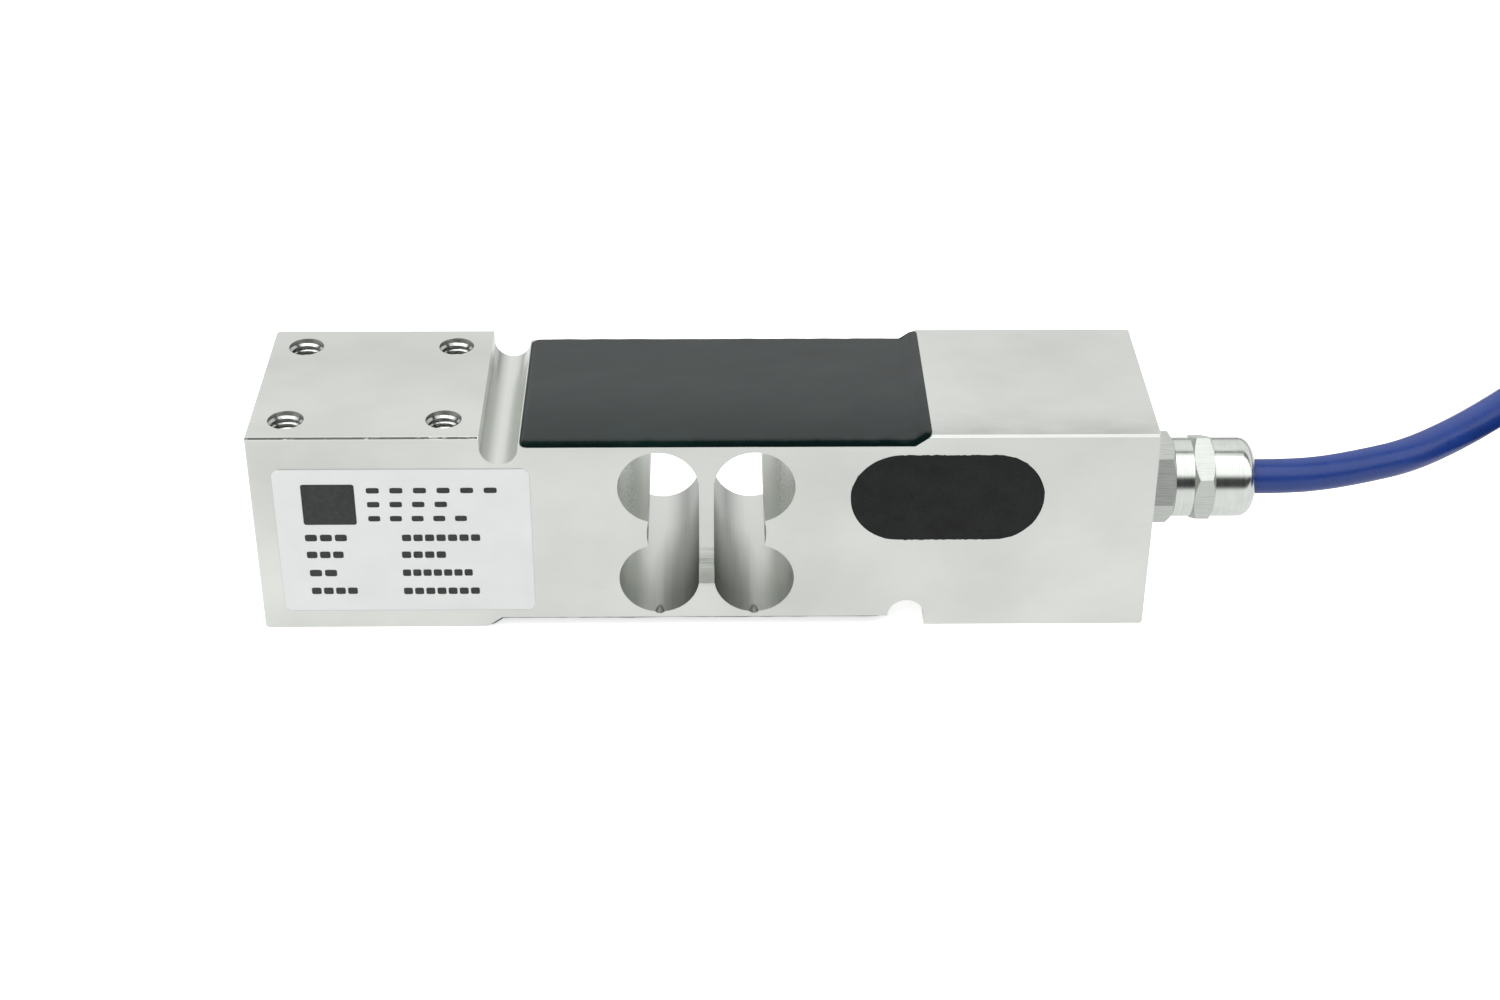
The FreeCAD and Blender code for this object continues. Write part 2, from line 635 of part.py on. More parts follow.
def gland_body():
    shank = ring_on_gland(BODY_HEX_X - SHANK_L, BODY_HEX_X, 0, GLAND_THREAD_R - FIT_GAP)
    head = hexagon(BODY_HEX_X, BODY_HEX_T, BODY_HEX_TURN, False)
    collar = ring_on_gland(COLLAR_X, COLLAR_X + COLLAR_L, 0, COLLAR_R)
    through = rod(Vec(BODY_HEX_X - SHANK_L - 1, 0, GLAND_Z), Vec(SEAT_X + 1, 0, GLAND_Z), CABLE_HOLE_R)
    seat = rod(Vec(SEAT_X, 0, GLAND_Z), Vec(COLLAR_X + COLLAR_L + 1, 0, GLAND_Z), SEAT_R)
    return joined([shank, head, collar]).cut([through, seat])


def gland_seal():
    return ring_on_gland(SEAT_X, SEAL_END_X, CABLE_R, SEAT_R - FIT_GAP)


def gland_clamp_ring():
    return ring_on_gland(SEAL_END_X, SEAL_END_X + CLAMP_T, CABLE_HOLE_R, COLLAR_R)


def dome_outline(x0):
    """Outline of the nut's dome: a plain barrel that rounds off as a quarter ellipse to the nose."""
    nose_r = CABLE_HOLE_R + NUT_NOSE_RIM
    shoulder = Vec(NOSE_X - NUT_NOSE_L, 0, GLAND_Z + nose_r)
    curve = []
    for i in range(NOSE_POINTS + 1):
        angle = math.pi / 2 * i / NOSE_POINTS
        curve.append(shoulder + Vec(NUT_NOSE_L * math.sin(angle), 0, (NUT_R - nose_r) * math.cos(angle)))
    nose = Part.BSplineCurve()
    nose.interpolate(curve)
    axis = Vec(0, 0, GLAND_Z)
    lines = [Part.makeLine(curve[-1], axis + Vec(NOSE_X, 0, 0)),
             Part.makeLine(axis + Vec(NOSE_X, 0, 0), axis + Vec(x0, 0, 0)),
             Part.makeLine(axis + Vec(x0, 0, 0), axis + Vec(x0, 0, NUT_R)),
             Part.makeLine(axis + Vec(x0, 0, NUT_R), curve[0])]
    return Part.Wire([nose.toShape()] + lines)


def gland_cap_nut():
    """Skirt, hexagon and dome in one piece, hollow from the skirt to the clamp ring."""
    barrel = Part.Face(dome_outline(NUT_X)).revolve(Vec(0, 0, GLAND_Z), X_AXIS, 360)
    head = hexagon(NUT_X + NUT_SKIRT_L, NUT_HEX_T, NUT_HEX_TURN, True)
    thread = rod(Vec(NUT_X - 1, 0, GLAND_Z), Vec(SEAL_END_X + CLAMP_T, 0, GLAND_Z), COLLAR_R + FIT_GAP)
    mouth = rod(Vec(NUT_X, 0, GLAND_Z), Vec(NOSE_X + 1, 0, GLAND_Z), CABLE_HOLE_R)
    return joined([barrel, head]).cut([thread, mouth])


def cable_inlet():
    return rod(Vec(NOSE_X - INLET_L, 0, GLAND_Z), Vec(NOSE_X, 0, GLAND_Z), CABLE_R)


# ---- free cable: lead, coil, tail and stripped end ----
def on_coil(angle, radius, z):
    a = math.radians(angle)
    return COIL + Vec(radius * math.cos(a), radius * math.sin(a), z)


def clockwise(angle):
    """The way the turns run at an angle on the coil."""
    a = math.radians(angle)
    return Vec(math.sin(a), -math.cos(a), 0)


def coil_entry():
    """The run that joins the coil's top turn: where it starts and where it ends."""
    end = on_coil(COIL_HEADING + 90, COIL_TURN_R, COIL_HIGH_Z)
    level = math.sqrt(ENTRY_RUN ** 2 - ENTRY_RISE ** 2)
    return end - clockwise(COIL_HEADING + 90) * level - Z_AXIS * ENTRY_RISE, end


def lead_route():
    nose = Vec(NOSE_X, 0, GLAND_Z)
    return [nose] + [nose + Vec(p) for p in LEAD_ROUTE] + list(coil_entry())


def lead_edges():
    """The lead's path, cut where its plain tube ends and the coil's solid starts."""
    edges = route_edges(lead_route())[0]
    tube, rest = cut_line(edges[-1], 1 - ENTRY_IN_COIL / edges[-1].Length)
    return edges[:-1] + [tube], [rest]


def tail_route():
    """Out of the coil's top layer on a gentle ramp, then on top of the coil to the cut end."""
    return [on_coil(TAIL_ANGLE - i * TAIL_STEP, COIL_MEAN_R, COIL_HIGH_Z + climb * (TAIL_Z - COIL_HIGH_Z))
            for i, climb in enumerate(TAIL_CLIMB)]


def tail_edges():
    """The tail's path, cut past the ramp's crest: the first part belongs to the coil's solid."""
    edges = route_edges(tail_route())[0]
    crest = 2 * TAIL_CLIMB.index(1.0)
    ramp_end, tube = cut_line(edges[crest], 0.5)
    return edges[:crest] + [ramp_end], [tube] + edges[crest + 1:]


def cable_coil():
    """All the turns as one closed ring, with the run that enters it and the ramp that leaves it."""
    section = block(COIL_INNER_R, COIL_OUTER_R, 0, 1, TIE_T, COIL_TOP_Z)
    section = section.makeChamfer(COIL_CHAMFER, edges_along(section, Y_AXIS))
    section = min(section.Faces, key=lambda face: abs(face.CenterOfMass.y))
    ring = section.revolve(Vec(0, 0, 0), Z_AXIS, 360)
    ring.translate(COIL)
    return joined([ring, bar_along(lead_edges()[1], CABLE_R), bar_along(tail_edges()[0], CABLE_R)])


def coil_ties():
    """Flat ties round the bundle of turns, each with its head on top."""
    low = TIE_T - TIE_GAP
    over = COIL_TOP_Z + TIE_GAP + TIE_T
    head = block(COIL_MEAN_R - TIE_HEAD_L / 2, COIL_MEAN_R + TIE_HEAD_L / 2, -TIE_HEAD_W / 2, TIE_HEAD_W / 2,
                 over, over + TIE_HEAD_T)
    ties = []
    for angle in TIE_ANGLES:
        outer = block(COIL_INNER_R - TIE_GAP - TIE_T, COIL_OUTER_R + TIE_GAP + TIE_T, -TIE_W / 2, TIE_W / 2,
                      0, over)
        inner = block(COIL_INNER_R - TIE_GAP, COIL_OUTER_R + TIE_GAP, -TIE_W / 2, TIE_W / 2,
                      low, COIL_TOP_Z + TIE_GAP)
        outer = round_corners(outer, CABLE_R, Y_AXIS)
        inner = round_corners(inner, CABLE_R - TIE_GAP - TIE_T, Y_AXIS)
        tie = joined([outer.cut(inner), head])
        tie.rotate(Vec(0, 0, 0), Z_AXIS, angle)
        tie.translate(COIL)
        ties.append(tie)
    return Part.makeCompound(ties)


def jacket_end():
    """The cable's cut end and the direction in which it points."""
    route = tail_route()
    return route[-1], (route[-1] - route[-2]).normalize()


def end_sleeve():
    end, along = jacket_end()
    start = end - along * SLEEVE_GRIP
    outer = rod(start, end + along * SLEEVE_PROUD, CABLE_R + SLEEVE_T)
    return outer.cut(rod(start - along, end + along * (SLEEVE_PROUD + 1), CABLE_R))


def free_lead_route(offset, fan, radius):
    """One stripped lead: out of the sleeve, then down on to the coil's top, fanned out."""
    end, along = jacket_end()
    aside = Z_AXIS.cross(along)
    start = end + aside * offset[0] + Z_AXIS * offset[1]
    rest_z = COIL_TOP_Z + radius + FIT_GAP
    falling, down, last = FREE_LEAD_ANGLES
    return [start, start + along * (SLEEVE_PROUD + 3),
            on_coil(falling, COIL_MEAN_R + fan * FAN_EARLY, (start.z + rest_z) / 2),
            on_coil(down, COIL_MEAN_R + fan, rest_z), on_coil(last, COIL_MEAN_R + fan, rest_z)]


def free_leads():
    """The four cores and the screen, and their bare tips."""
    places = core_places() + [(0, 0)]
    radii = [CORE_R] * 4 + [SCREEN_R]
    leads = []
    tips = []
    for offset, fan, radius in zip(places, FREE_LEAD_FAN, radii):
        route = free_lead_route(offset, fan, radius)
        leads.append(swept_bar(route, radius, CORE_SIDES))
        along = (route[-1] - route[-2]).normalize()
        tips.append(rod(route[-1], route[-1] + along * TIP_L, TIP_R))
    return leads, Part.makeCompound(tips)


# ---- the whole part ----
def build():
    gauges = {"load": strain_gauge(FLEX_X - LOBE_X), "fixed": strain_gauge(FLEX_X + LOBE_X)}
    terminals = terminal_strip()
    wires_top = bridge_wires_top()
    wires_bottom = bridge_wires_bottom()
    board = trim_board()
    resistors = trim_resistors()
    leads = board_leads()
    nodes = {"beam_body": beam_body()}
    for end, gauge in gauges.items():
        nodes["gauge_top_" + end] = gauge
        nodes["gauge_bottom_" + end] = turned_over(gauge)
    nodes["terminals_top"] = terminals
    nodes["terminals_bottom"] = turned_over(terminals)
    nodes["bridge_wires_top"] = wires_top
    nodes["bridge_wires_bottom"] = wires_bottom
    nodes["trim_board"] = board
    nodes["trim_resistors"] = resistors
    for colour, lead in zip(CORE_COLOURS, leads):
        nodes["board_lead_" + colour] = lead
    nodes["top_potting"] = top_potting(list(gauges.values()) + [terminals, wires_top])
    nodes["bottom_potting"] = bottom_potting(
        [nodes["gauge_bottom_load"], nodes["gauge_bottom_fixed"], nodes["terminals_bottom"], wires_bottom])
    nodes["pocket_potting"] = pocket_potting([wires_top, wires_bottom, board, resistors] + leads)
    nodes["rating_label"] = rating_label()
    for piece in (gland_washer, gland_body, gland_seal, gland_clamp_ring, gland_cap_nut, cable_inlet):
        nodes[piece.__name__] = piece()
    tubes = {"cable_lead": (lead_route(), lead_edges()[0]), "cable_tail": (tail_route(), tail_edges()[1])}
    for name, (route, edges) in tubes.items():
        nodes[name] = bar_along(edges, CABLE_R)
        report_tube(name, nodes[name], route, Part.Wire(edges).Length)
    nodes["cable_coil"] = cable_coil()
    nodes["coil_ties"] = coil_ties()
    nodes["end_sleeve"] = end_sleeve()
    free, tips = free_leads()
    for colour, lead in zip(CORE_COLOURS + ("screen",), free):
        nodes["free_lead_" + colour] = lead
    nodes["lead_tips"] = tips
    return nodes


def report_tube(name, tube, route, length):
    share = tube.Volume / (math.pi * CABLE_R ** 2 * length)
    radii = [round(radius, 1) for radius in route_edges(route)[1]]
    print(name, "length", round(length, 1), "volume by section and length", round(share, 4), "radii", radii)


def report_cable():
    """One turn's worth of room in the coil goes to the crossings between its layers and columns."""
    turned = (COIL_COLUMNS * COIL_LAYERS - 1) * 360 - (TAIL_ANGLE - COIL_HEADING - 90)
    wound = math.radians(turned) * COIL_MEAN_R
    ends = [Part.Wire(route_edges(route)[0]).Length for route in (lead_route(), tail_route())]
    print("cable from the gland to its cut end", round(wound + sum(ends)), "mm")


def main():
    os.makedirs("parts", exist_ok=True)
    for name, shape in build().items():
        if not shape.isValid():
            raise ValueError(name + " is not a valid shape")
        shape.exportStep("parts/" + name + ".step")
        print(name, "solids", len(shape.Solids), "volume", round(shape.Volume, 2))
    report_cable()


main()
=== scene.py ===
"""Single point load cell: materials, dressed pieces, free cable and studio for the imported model."""
import json
import math

import bmesh
import bpy
from mathutils import Matrix, Vector


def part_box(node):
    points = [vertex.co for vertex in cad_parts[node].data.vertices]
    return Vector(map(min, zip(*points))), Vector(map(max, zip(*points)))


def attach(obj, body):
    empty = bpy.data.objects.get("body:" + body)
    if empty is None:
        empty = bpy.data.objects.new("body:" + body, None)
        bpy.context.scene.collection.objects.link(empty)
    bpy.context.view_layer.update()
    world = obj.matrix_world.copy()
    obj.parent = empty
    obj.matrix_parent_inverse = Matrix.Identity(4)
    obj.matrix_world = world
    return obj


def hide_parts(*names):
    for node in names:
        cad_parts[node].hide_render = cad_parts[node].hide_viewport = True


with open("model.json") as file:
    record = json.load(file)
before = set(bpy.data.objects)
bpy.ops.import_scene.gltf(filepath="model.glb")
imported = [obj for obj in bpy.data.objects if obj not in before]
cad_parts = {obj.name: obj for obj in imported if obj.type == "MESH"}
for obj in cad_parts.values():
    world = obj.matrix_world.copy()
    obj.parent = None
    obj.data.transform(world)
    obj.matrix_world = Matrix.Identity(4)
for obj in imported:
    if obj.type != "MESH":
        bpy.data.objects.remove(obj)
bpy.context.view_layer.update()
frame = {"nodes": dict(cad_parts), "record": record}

bl_info = {
    "name": "Single point load cell",
    "version": (1, 0, 0),
    "blender": (4, 5, 0),
    "location": "3D View > Sidebar > Load cell",
    "description": "Dresses the load cell's solids and lights them in a small studio",
    "category": "Object",
}

MM = 0.001
BEAM_LOW, BEAM_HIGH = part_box("beam_body")
LABEL_LOW, LABEL_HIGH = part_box("rating_label")
FACE_Y = BEAM_LOW.y
MID_Z = (BEAM_LOW.z + BEAM_HIGH.z) / 2
# The measuring section: its middle, how far its openings reach to each side, how far they stay inside
# the block above and below, half the web between them, and the heights of the counterbore's foot.
SECTION_X = (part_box("gauge_top_load")[0].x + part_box("gauge_top_fixed")[1].x) / 2
OPENING_REACH = 17 * MM
OPENING_MARGIN = 2.9 * MM
WEB_HALF = 1.3 * MM
COUNTERBORE_FOOT = (8.4 * MM, 13 * MM)
RECESS_DEPTH = 2.0 * MM
SLOPE_RUN = 2.8 * MM
EDGE_BREAK = 0.35 * MM
TAP_DEPTH = 13 * MM
POCKET_INSET = 18.55 * MM
POCKET_HEIGHT = 16.4 * MM
# From the load end: where its block ends, and the groove behind it with its depth.
LOAD_BLOCK = 38 * MM
GROOVE_START, GROOVE_END, GROOVE_DEPTH = 38.2 * MM, 44.6 * MM, 5.4 * MM
# From the cable end: how far the fixed block's top reaches.
FIXED_BLOCK = 40 * MM
# A mask stops this far short of an edge.
HAIR = 0.04 * MM
# The gland's two hexagons along X.
HEXAGONS = [(20.15 * MM, 25.05 * MM), (28.2 * MM, 31.8 * MM)]


# ---- sizes and colours that a user would change ----
class CableSettings(bpy.types.PropertyGroup):
    """The free cable's measures and colour"""
    diameter: bpy.props.FloatProperty(
        name="Diameter", description="Outside diameter of the jacket", default=6.1 * MM, unit="LENGTH")
    outer_turn: bpy.props.FloatProperty(
        name="Outer turn", description="Radius of the coil's outer turns", default=39.05 * MM, unit="LENGTH")
    top_layer: bpy.props.FloatProperty(
        name="Top layer", description="Height of the top turns' middle", default=22.15 * MM, unit="LENGTH")
    points_per_turn: bpy.props.IntProperty(
        name="Points per turn", description="Control points in one turn of the coil", default=16, min=12)
    jacket: bpy.props.StringProperty(
        name="Jacket", description="Colour of the PVC jacket", default="#1C3C88")


class FinishSettings(bpy.types.PropertyGroup):
    """Colours of the load cell's surfaces, and sizes of its finishing detail"""
    aluminium: bpy.props.StringProperty(
        name="Aluminium", description="Colour of the milled block", default="#E3E6E1")
    nickel: bpy.props.StringProperty(
        name="Nickel", description="Colour of the gland's plating", default="#DEE2DD")
    compound: bpy.props.StringProperty(
        name="Compound", description="Colour of the sealing compound", default="#0B1B19")
    casting: bpy.props.StringProperty(
        name="Casting resin", description="Colour of the resin in the side pocket", default="#131615")
    label: bpy.props.StringProperty(
        name="Label", description="Colour of the label's film", default="#EEF1EF")
    print_ink: bpy.props.StringProperty(
        name="Ink", description="Colour of the label's print", default="#2A2D2C")
    thread_pitch: bpy.props.FloatProperty(
        name="Thread pitch", description="Pitch of the tapped holes' thread", default=1.0 * MM, unit="LENGTH")
    film_thickness: bpy.props.FloatProperty(
        name="Compound film", description="Thickness of the poured compound", default=0.5 * MM, unit="LENGTH")


class StudioSettings(bpy.types.PropertyGroup):
    """The camera, the table and the light"""
    camera_place: bpy.props.FloatVectorProperty(
        name="Camera", description="Where the camera stands", default=(-0.055435, -0.364479, 0.239165),
        subtype="TRANSLATION")
    camera_pitch: bpy.props.FloatProperty(
        name="Pitch", description="How far the camera looks down", default=math.radians(31.7306),
        subtype="ANGLE")
    camera_heading: bpy.props.FloatProperty(
        name="Heading", description="How far it looks to the right", default=math.radians(1.1543),
        subtype="ANGLE")
    camera_roll: bpy.props.FloatProperty(
        name="Roll", description="How far it leans", default=math.radians(0.377), subtype="ANGLE")
    lens: bpy.props.FloatProperty(name="Lens", description="Focal length in millimetres", default=58.84)
    floor: bpy.props.StringProperty(name="Floor", description="Colour of the table", default="#FFFFFF")
    light_level: bpy.props.FloatProperty(
        name="Light level", description="Strength of the studio's walls and ceiling", default=1.0)


# ---- small helpers ----
def linear(hex_colour):
    """An sRGB hex colour as linear red, green, blue and alpha."""
    channels = [int(hex_colour[i:i + 2], 16) / 255 for i in (1, 3, 5)]
    return [c / 12.92 if c <= 0.04045 else ((c + 0.055) / 1.055) ** 2.4 for c in channels] + [1.0]


def add_node(tree, kind, inputs=None, **settings):
    """Adds a node to a tree. An input is given a plain value, or the output that feeds it."""
    node = tree.nodes.new(kind)
    for name, value in settings.items():
        setattr(node, name, value)
    for name, value in (inputs or {}).items():
        if isinstance(value, bpy.types.NodeSocket):
            tree.links.new(value, node.inputs[name])
        else:
            node.inputs[name].default_value = value
    return node


def new_material(name, colour, roughness, metallic=0.0):
    """A principled material: the material, its node tree and its shader."""
    material = bpy.data.materials.new(name)
    material.use_nodes = True
    shader = material.node_tree.nodes["Principled BSDF"]
    shader.inputs["Base Color"].default_value = linear(colour)
    shader.inputs["Roughness"].default_value = roughness
    shader.inputs["Metallic"].default_value = metallic
    return material, material.node_tree, shader


def place_on_piece(tree, scale, turn=(0, 0, 0)):
    """Object coordinates, scaled so that one unit is one feature of the pattern."""
    place = add_node(tree, "ShaderNodeTexCoord")
    return add_node(tree, "ShaderNodeMapping", {
        "Vector": place.outputs["Object"], "Scale": scale, "Rotation": turn}).outputs["Vector"]


def grain(tree, feature, detail=2.0, roughness=0.5):
    """Noise whose features are feature millimetres long, wide and high."""
    scale = [1 / (size * MM) for size in feature]
    return add_node(tree, "ShaderNodeTexNoise", {
        "Vector": place_on_piece(tree, scale), "Scale": 1.0, "Detail": detail, "Roughness": roughness},
        normalize=True).outputs[0]


def spread(tree, value, low, high, source=(0.3, 0.7)):
    """A value taken from one range to another."""
    return add_node(tree, "ShaderNodeMapRange", {
        "Value": value, "From Min": source[0], "From Max": source[1], "To Min": low, "To Max": high},
        clamp=True).outputs["Result"]


def blend_colours(tree, factor, low, high):
    """Two colours, or the outputs that give them, mixed by a factor."""
    return add_node(tree, "ShaderNodeMix", {0: factor, 6: low, 7: high}, data_type="RGBA").outputs[2]


def calculate(tree, operation, *values):
    """One step of arithmetic on outputs or plain numbers."""
    return add_node(tree, "ShaderNodeMath", dict(enumerate(values)), operation=operation).outputs[0]


def piece_axes(tree):
    """The place on a piece as X, Y and Z."""
    place = add_node(tree, "ShaderNodeTexCoord")
    return add_node(tree, "ShaderNodeSeparateXYZ", {"Vector": place.outputs["Object"]}).outputs


def within(tree, low, high):
    """One inside a box on the piece, and nought outside it."""
    axes = piece_axes(tree)
    share = 1.0
    for axis, least, most in zip("XYZ", low, high):
        hit = calculate(tree, "COMPARE", axes[axis], (least + most) / 2, (most - least) / 2)
        share = calculate(tree, "MULTIPLY", share, hit)
    return share


def bumps(tree, shader, height, strength, depth):
    """Feeds a height to the shader's normal; depth is in millimetres."""
    bump = add_node(tree, "ShaderNodeBump", {"Strength": strength, "Distance": depth * MM, "Height": height})
    tree.links.new(bump.outputs["Normal"], shader.inputs["Normal"])


def tint(tree, shader, colour, tone, low, high):
    """A colour that a tone from nought to one takes between a low and a high share of it."""
    mixed = blend_colours(tree, tone, shade(colour, low), shade(colour, high))
    tree.links.new(mixed, shader.inputs["Base Color"])


def shade(colour, factor):
    """A colour made darker or lighter by a factor."""
    return [min(1.0, c * factor) for c in colour[:3]] + [1.0]


def dress(material, *nodes):
    """Gives CAD nodes a material."""
    for name in nodes:
        slots = frame["nodes"][name].data.materials
        slots.clear()
        slots.append(material)


def deselect_all():
    """Leaves edit mode, and nothing stays selected."""
    if bpy.context.mode != "OBJECT":
        bpy.ops.object.mode_set(mode="OBJECT")
    bpy.ops.object.select_all(action="DESELECT")


def finish_piece(piece, name, material, smooth=30.0):
    """Names a modelled piece, puts its place into its mesh and lets it ride with the load cell."""
    deselect_all()
    piece.name = name
    piece.data.name = name
    piece.select_set(True)
    bpy.context.view_layer.objects.active = piece
    bpy.ops.object.transform_apply(location=True, rotation=True, scale=True)
    bpy.ops.object.shade_smooth_by_angle(angle=math.radians(smooth))
    piece.data.materials.clear()
    piece.data.materials.append(material)
    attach(piece, "root")
    return piece


def add_block(low, high):
    """A cube primitive between two corners, its place in its mesh."""
    low, high = Vector(low), Vector(high)
    deselect_all()
    bpy.ops.mesh.primitive_cube_add(size=1, location=(low + high) / 2, scale=high - low)
    bpy.ops.object.transform_apply(location=True, rotation=True, scale=True)
    return bpy.context.object


def select_where(piece, kind, wanted):
    """In edit mode, selects the vertices, edges or faces for which wanted is true."""
    bpy.ops.mesh.select_mode(type={"verts": "VERT", "edges": "EDGE", "faces": "FACE"}[kind])
    bpy.ops.mesh.select_all(action="DESELECT")
    mesh = bmesh.from_edit_mesh(piece.data)
    for element in getattr(mesh, kind):
        if wanted(element):
            element.select_set(True)
    mesh.select_flush_mode()
    bmesh.update_edit_mesh(piece.data)


def join_pieces(pieces):
    """Several pieces as one mesh."""
    deselect_all()
    for piece in pieces:
        piece.select_set(True)
    bpy.context.view_layer.objects.active = pieces[0]
    bpy.ops.object.join()
    return bpy.context.object


def repeat_piece(piece, places):
    """One piece made of copies of a model, each at its own place; the model itself goes."""
    copies = []
    for place in places:
        copy = bpy.data.objects.new(piece.name, piece.data.copy())
        bpy.context.scene.collection.objects.link(copy)
        copy.data.transform(place)
        copies.append(copy)
    bpy.data.objects.remove(piece)
    return join_pieces(copies) if len(copies) > 1 else copies[0]


def apply_modifier(piece, kind, **settings):
    """Adds a modifier with its settings and applies it at once."""
    deselect_all()
    piece.select_set(True)
    bpy.context.view_layer.objects.active = piece
    modifier = piece.modifiers.new(kind.title(), kind)
    for name, value in settings.items():
        setattr(modifier, name, value)
    bpy.ops.object.modifier_apply(modifier=modifier.name)


# ---- materials ----
def milled_face(tree, colour, clouds):
    """The faces' tone: broad clouds, a few darker scratches and smears along the block."""
    scratches = spread(tree, grain(tree, (4.5, 0.22, 0.22), 2.0), 0.0, 0.05, (0.66, 0.78))
    smears = spread(tree, grain(tree, (17, 6, 6), 4.0, 0.6), 0.0, 0.1, (0.58, 0.8))
    face = blend_colours(tree, clouds, shade(colour, 0.87), shade(colour, 1.04))
    face = blend_colours(tree, scratches, face, shade(colour, 0.45))
    return blend_colours(tree, smears, face, shade(colour, 0.6))


def painted_bore_shade(tree, colour, axes, aside):
    """Painted shade on the openings' walls: darkest beside the web and in front, with streaks along the
    cutter's way.
    """
    streaks = spread(tree, grain(tree, (0.5, 22, 0.5), 3.0), 0.0, 1.0)
    share = calculate(tree, "MULTIPLY", streaks, 0.06)
    # each line: a direction, what the share of brightness gains along it, and from where to where in mm
    for place, least, most, start, end in (
            (aside, 0.13, 0.62, 1.5, 8), (aside, 0.0, 0.4, 8, 14),
            (axes["Y"], 0.0, 0.42, -14, 8), (axes["Z"], 0.0, 0.56, 16, 25)):
        gain = spread(tree, place, least, most, (start * MM, end * MM))
        share = calculate(tree, "ADD", share, gain)
    # painted shade: the walls go from black to their own colour as the share grows
    return blend_colours(tree, share, [0, 0, 0, 1], colour)


def unworked_skin(tree, axes, aside, bored):
    """Where the upper lobes' outer walls keep a grainy skin behind a ragged edge."""
    ragged = calculate(tree, "MULTIPLY", grain(tree, (1.6, 9, 1.6), 4.0, 0.7), 2.4 * MM)
    skin = spread(tree, calculate(tree, "ADD", aside, ragged), 0.0, 1.0, (13.2 * MM, 13.35 * MM))
    skin = calculate(tree, "MULTIPLY", skin, bored)
    return calculate(tree, "MULTIPLY", skin, calculate(tree, "GREATER_THAN", axes["Z"], MID_Z))


def add_tool_marks(tree, tone, colour):
    """The web's foot, where the counterbore's cutter left fine ridges."""
    low, high = COUNTERBORE_FOOT
    foot = within(tree, (SECTION_X - WEB_HALF, -1, low), (SECTION_X + WEB_HALF, 1, high))
    ridges = spread(tree, grain(tree, (9, 9, 0.24), 1.0), 0.0, 0.3, (0.42, 0.58))
    return blend_colours(tree, calculate(tree, "MULTIPLY", foot, ridges), tone, shade(colour, 0.3))


def add_groove(tree, tone, colour, axes):
    """The round-nosed groove behind the load block: its load side lies in shade."""
    low = Vector((BEAM_LOW.x + GROOVE_START, BEAM_LOW.y + HAIR, BEAM_HIGH.z - GROOVE_DEPTH))
    high = Vector((BEAM_LOW.x + GROOVE_END, BEAM_HIGH.y - HAIR, BEAM_HIGH.z - HAIR / 2))
    shaded = spread(tree, axes["X"], 0.0, 1.0, (low.x, low.x + 2.6 * MM))
    grooved = blend_colours(tree, shaded, shade(colour, 0.58), shade(colour, 1.02))
    return blend_colours(tree, within(tree, low, high), tone, grooved)


def add_front_greying(tree, tone, colour, axes, clouds):
    """The fixed block's top, a little greyer in patches towards the front."""
    low = Vector((BEAM_HIGH.x - FIXED_BLOCK, BEAM_LOW.y + EDGE_BREAK, BEAM_HIGH.z - 0.05 * MM))
    top = within(tree, low, BEAM_HIGH + Vector((MM, MM, MM)))
    patches = spread(tree, grain(tree, (8, 3, 3), 4.0, 0.6), 0.3, 1.0)
    depth = calculate(tree, "ADD", axes["Y"], calculate(tree, "MULTIPLY", clouds, 5 * MM))
    front = spread(tree, depth, 1.0, 0.0, (FACE_Y + 2 * MM, FACE_Y + 11 * MM))
    greyed = calculate(tree, "MULTIPLY", calculate(tree, "MULTIPLY", top, patches), front)
    return blend_colours(tree, greyed, tone, shade(colour, 0.72))


def paint_edge_shade(tree, tone, colour):
    """The front upper edge's painted shade: a dark, broken line on the load block and a greyer line
    elsewhere.
    """
    low = Vector((BEAM_LOW.x, BEAM_LOW.y - MM, BEAM_HIGH.z - EDGE_BREAK + 0.03 * MM))
    high = Vector((BEAM_HIGH.x, BEAM_LOW.y + EDGE_BREAK - 0.03 * MM, BEAM_HIGH.z + MM))
    load_edge = within(tree, low, (BEAM_LOW.x + LOAD_BLOCK, high.y, high.z))
    plain_edge = calculate(tree, "SUBTRACT", within(tree, low, high), load_edge)
    broken_shade = spread(tree, grain(tree, (2.2, 1, 1), 4.0, 0.7), 0.0, 1.0, (0.25, 0.45))
    # painted shade: the chamfer's bright reflection is darkened in its colour
    tone = blend_colours(tree, calculate(tree, "MULTIPLY", load_edge, broken_shade), tone, shade(colour, 0.12))
    return blend_colours(tree, plain_edge, tone, shade(colour, 0.72))


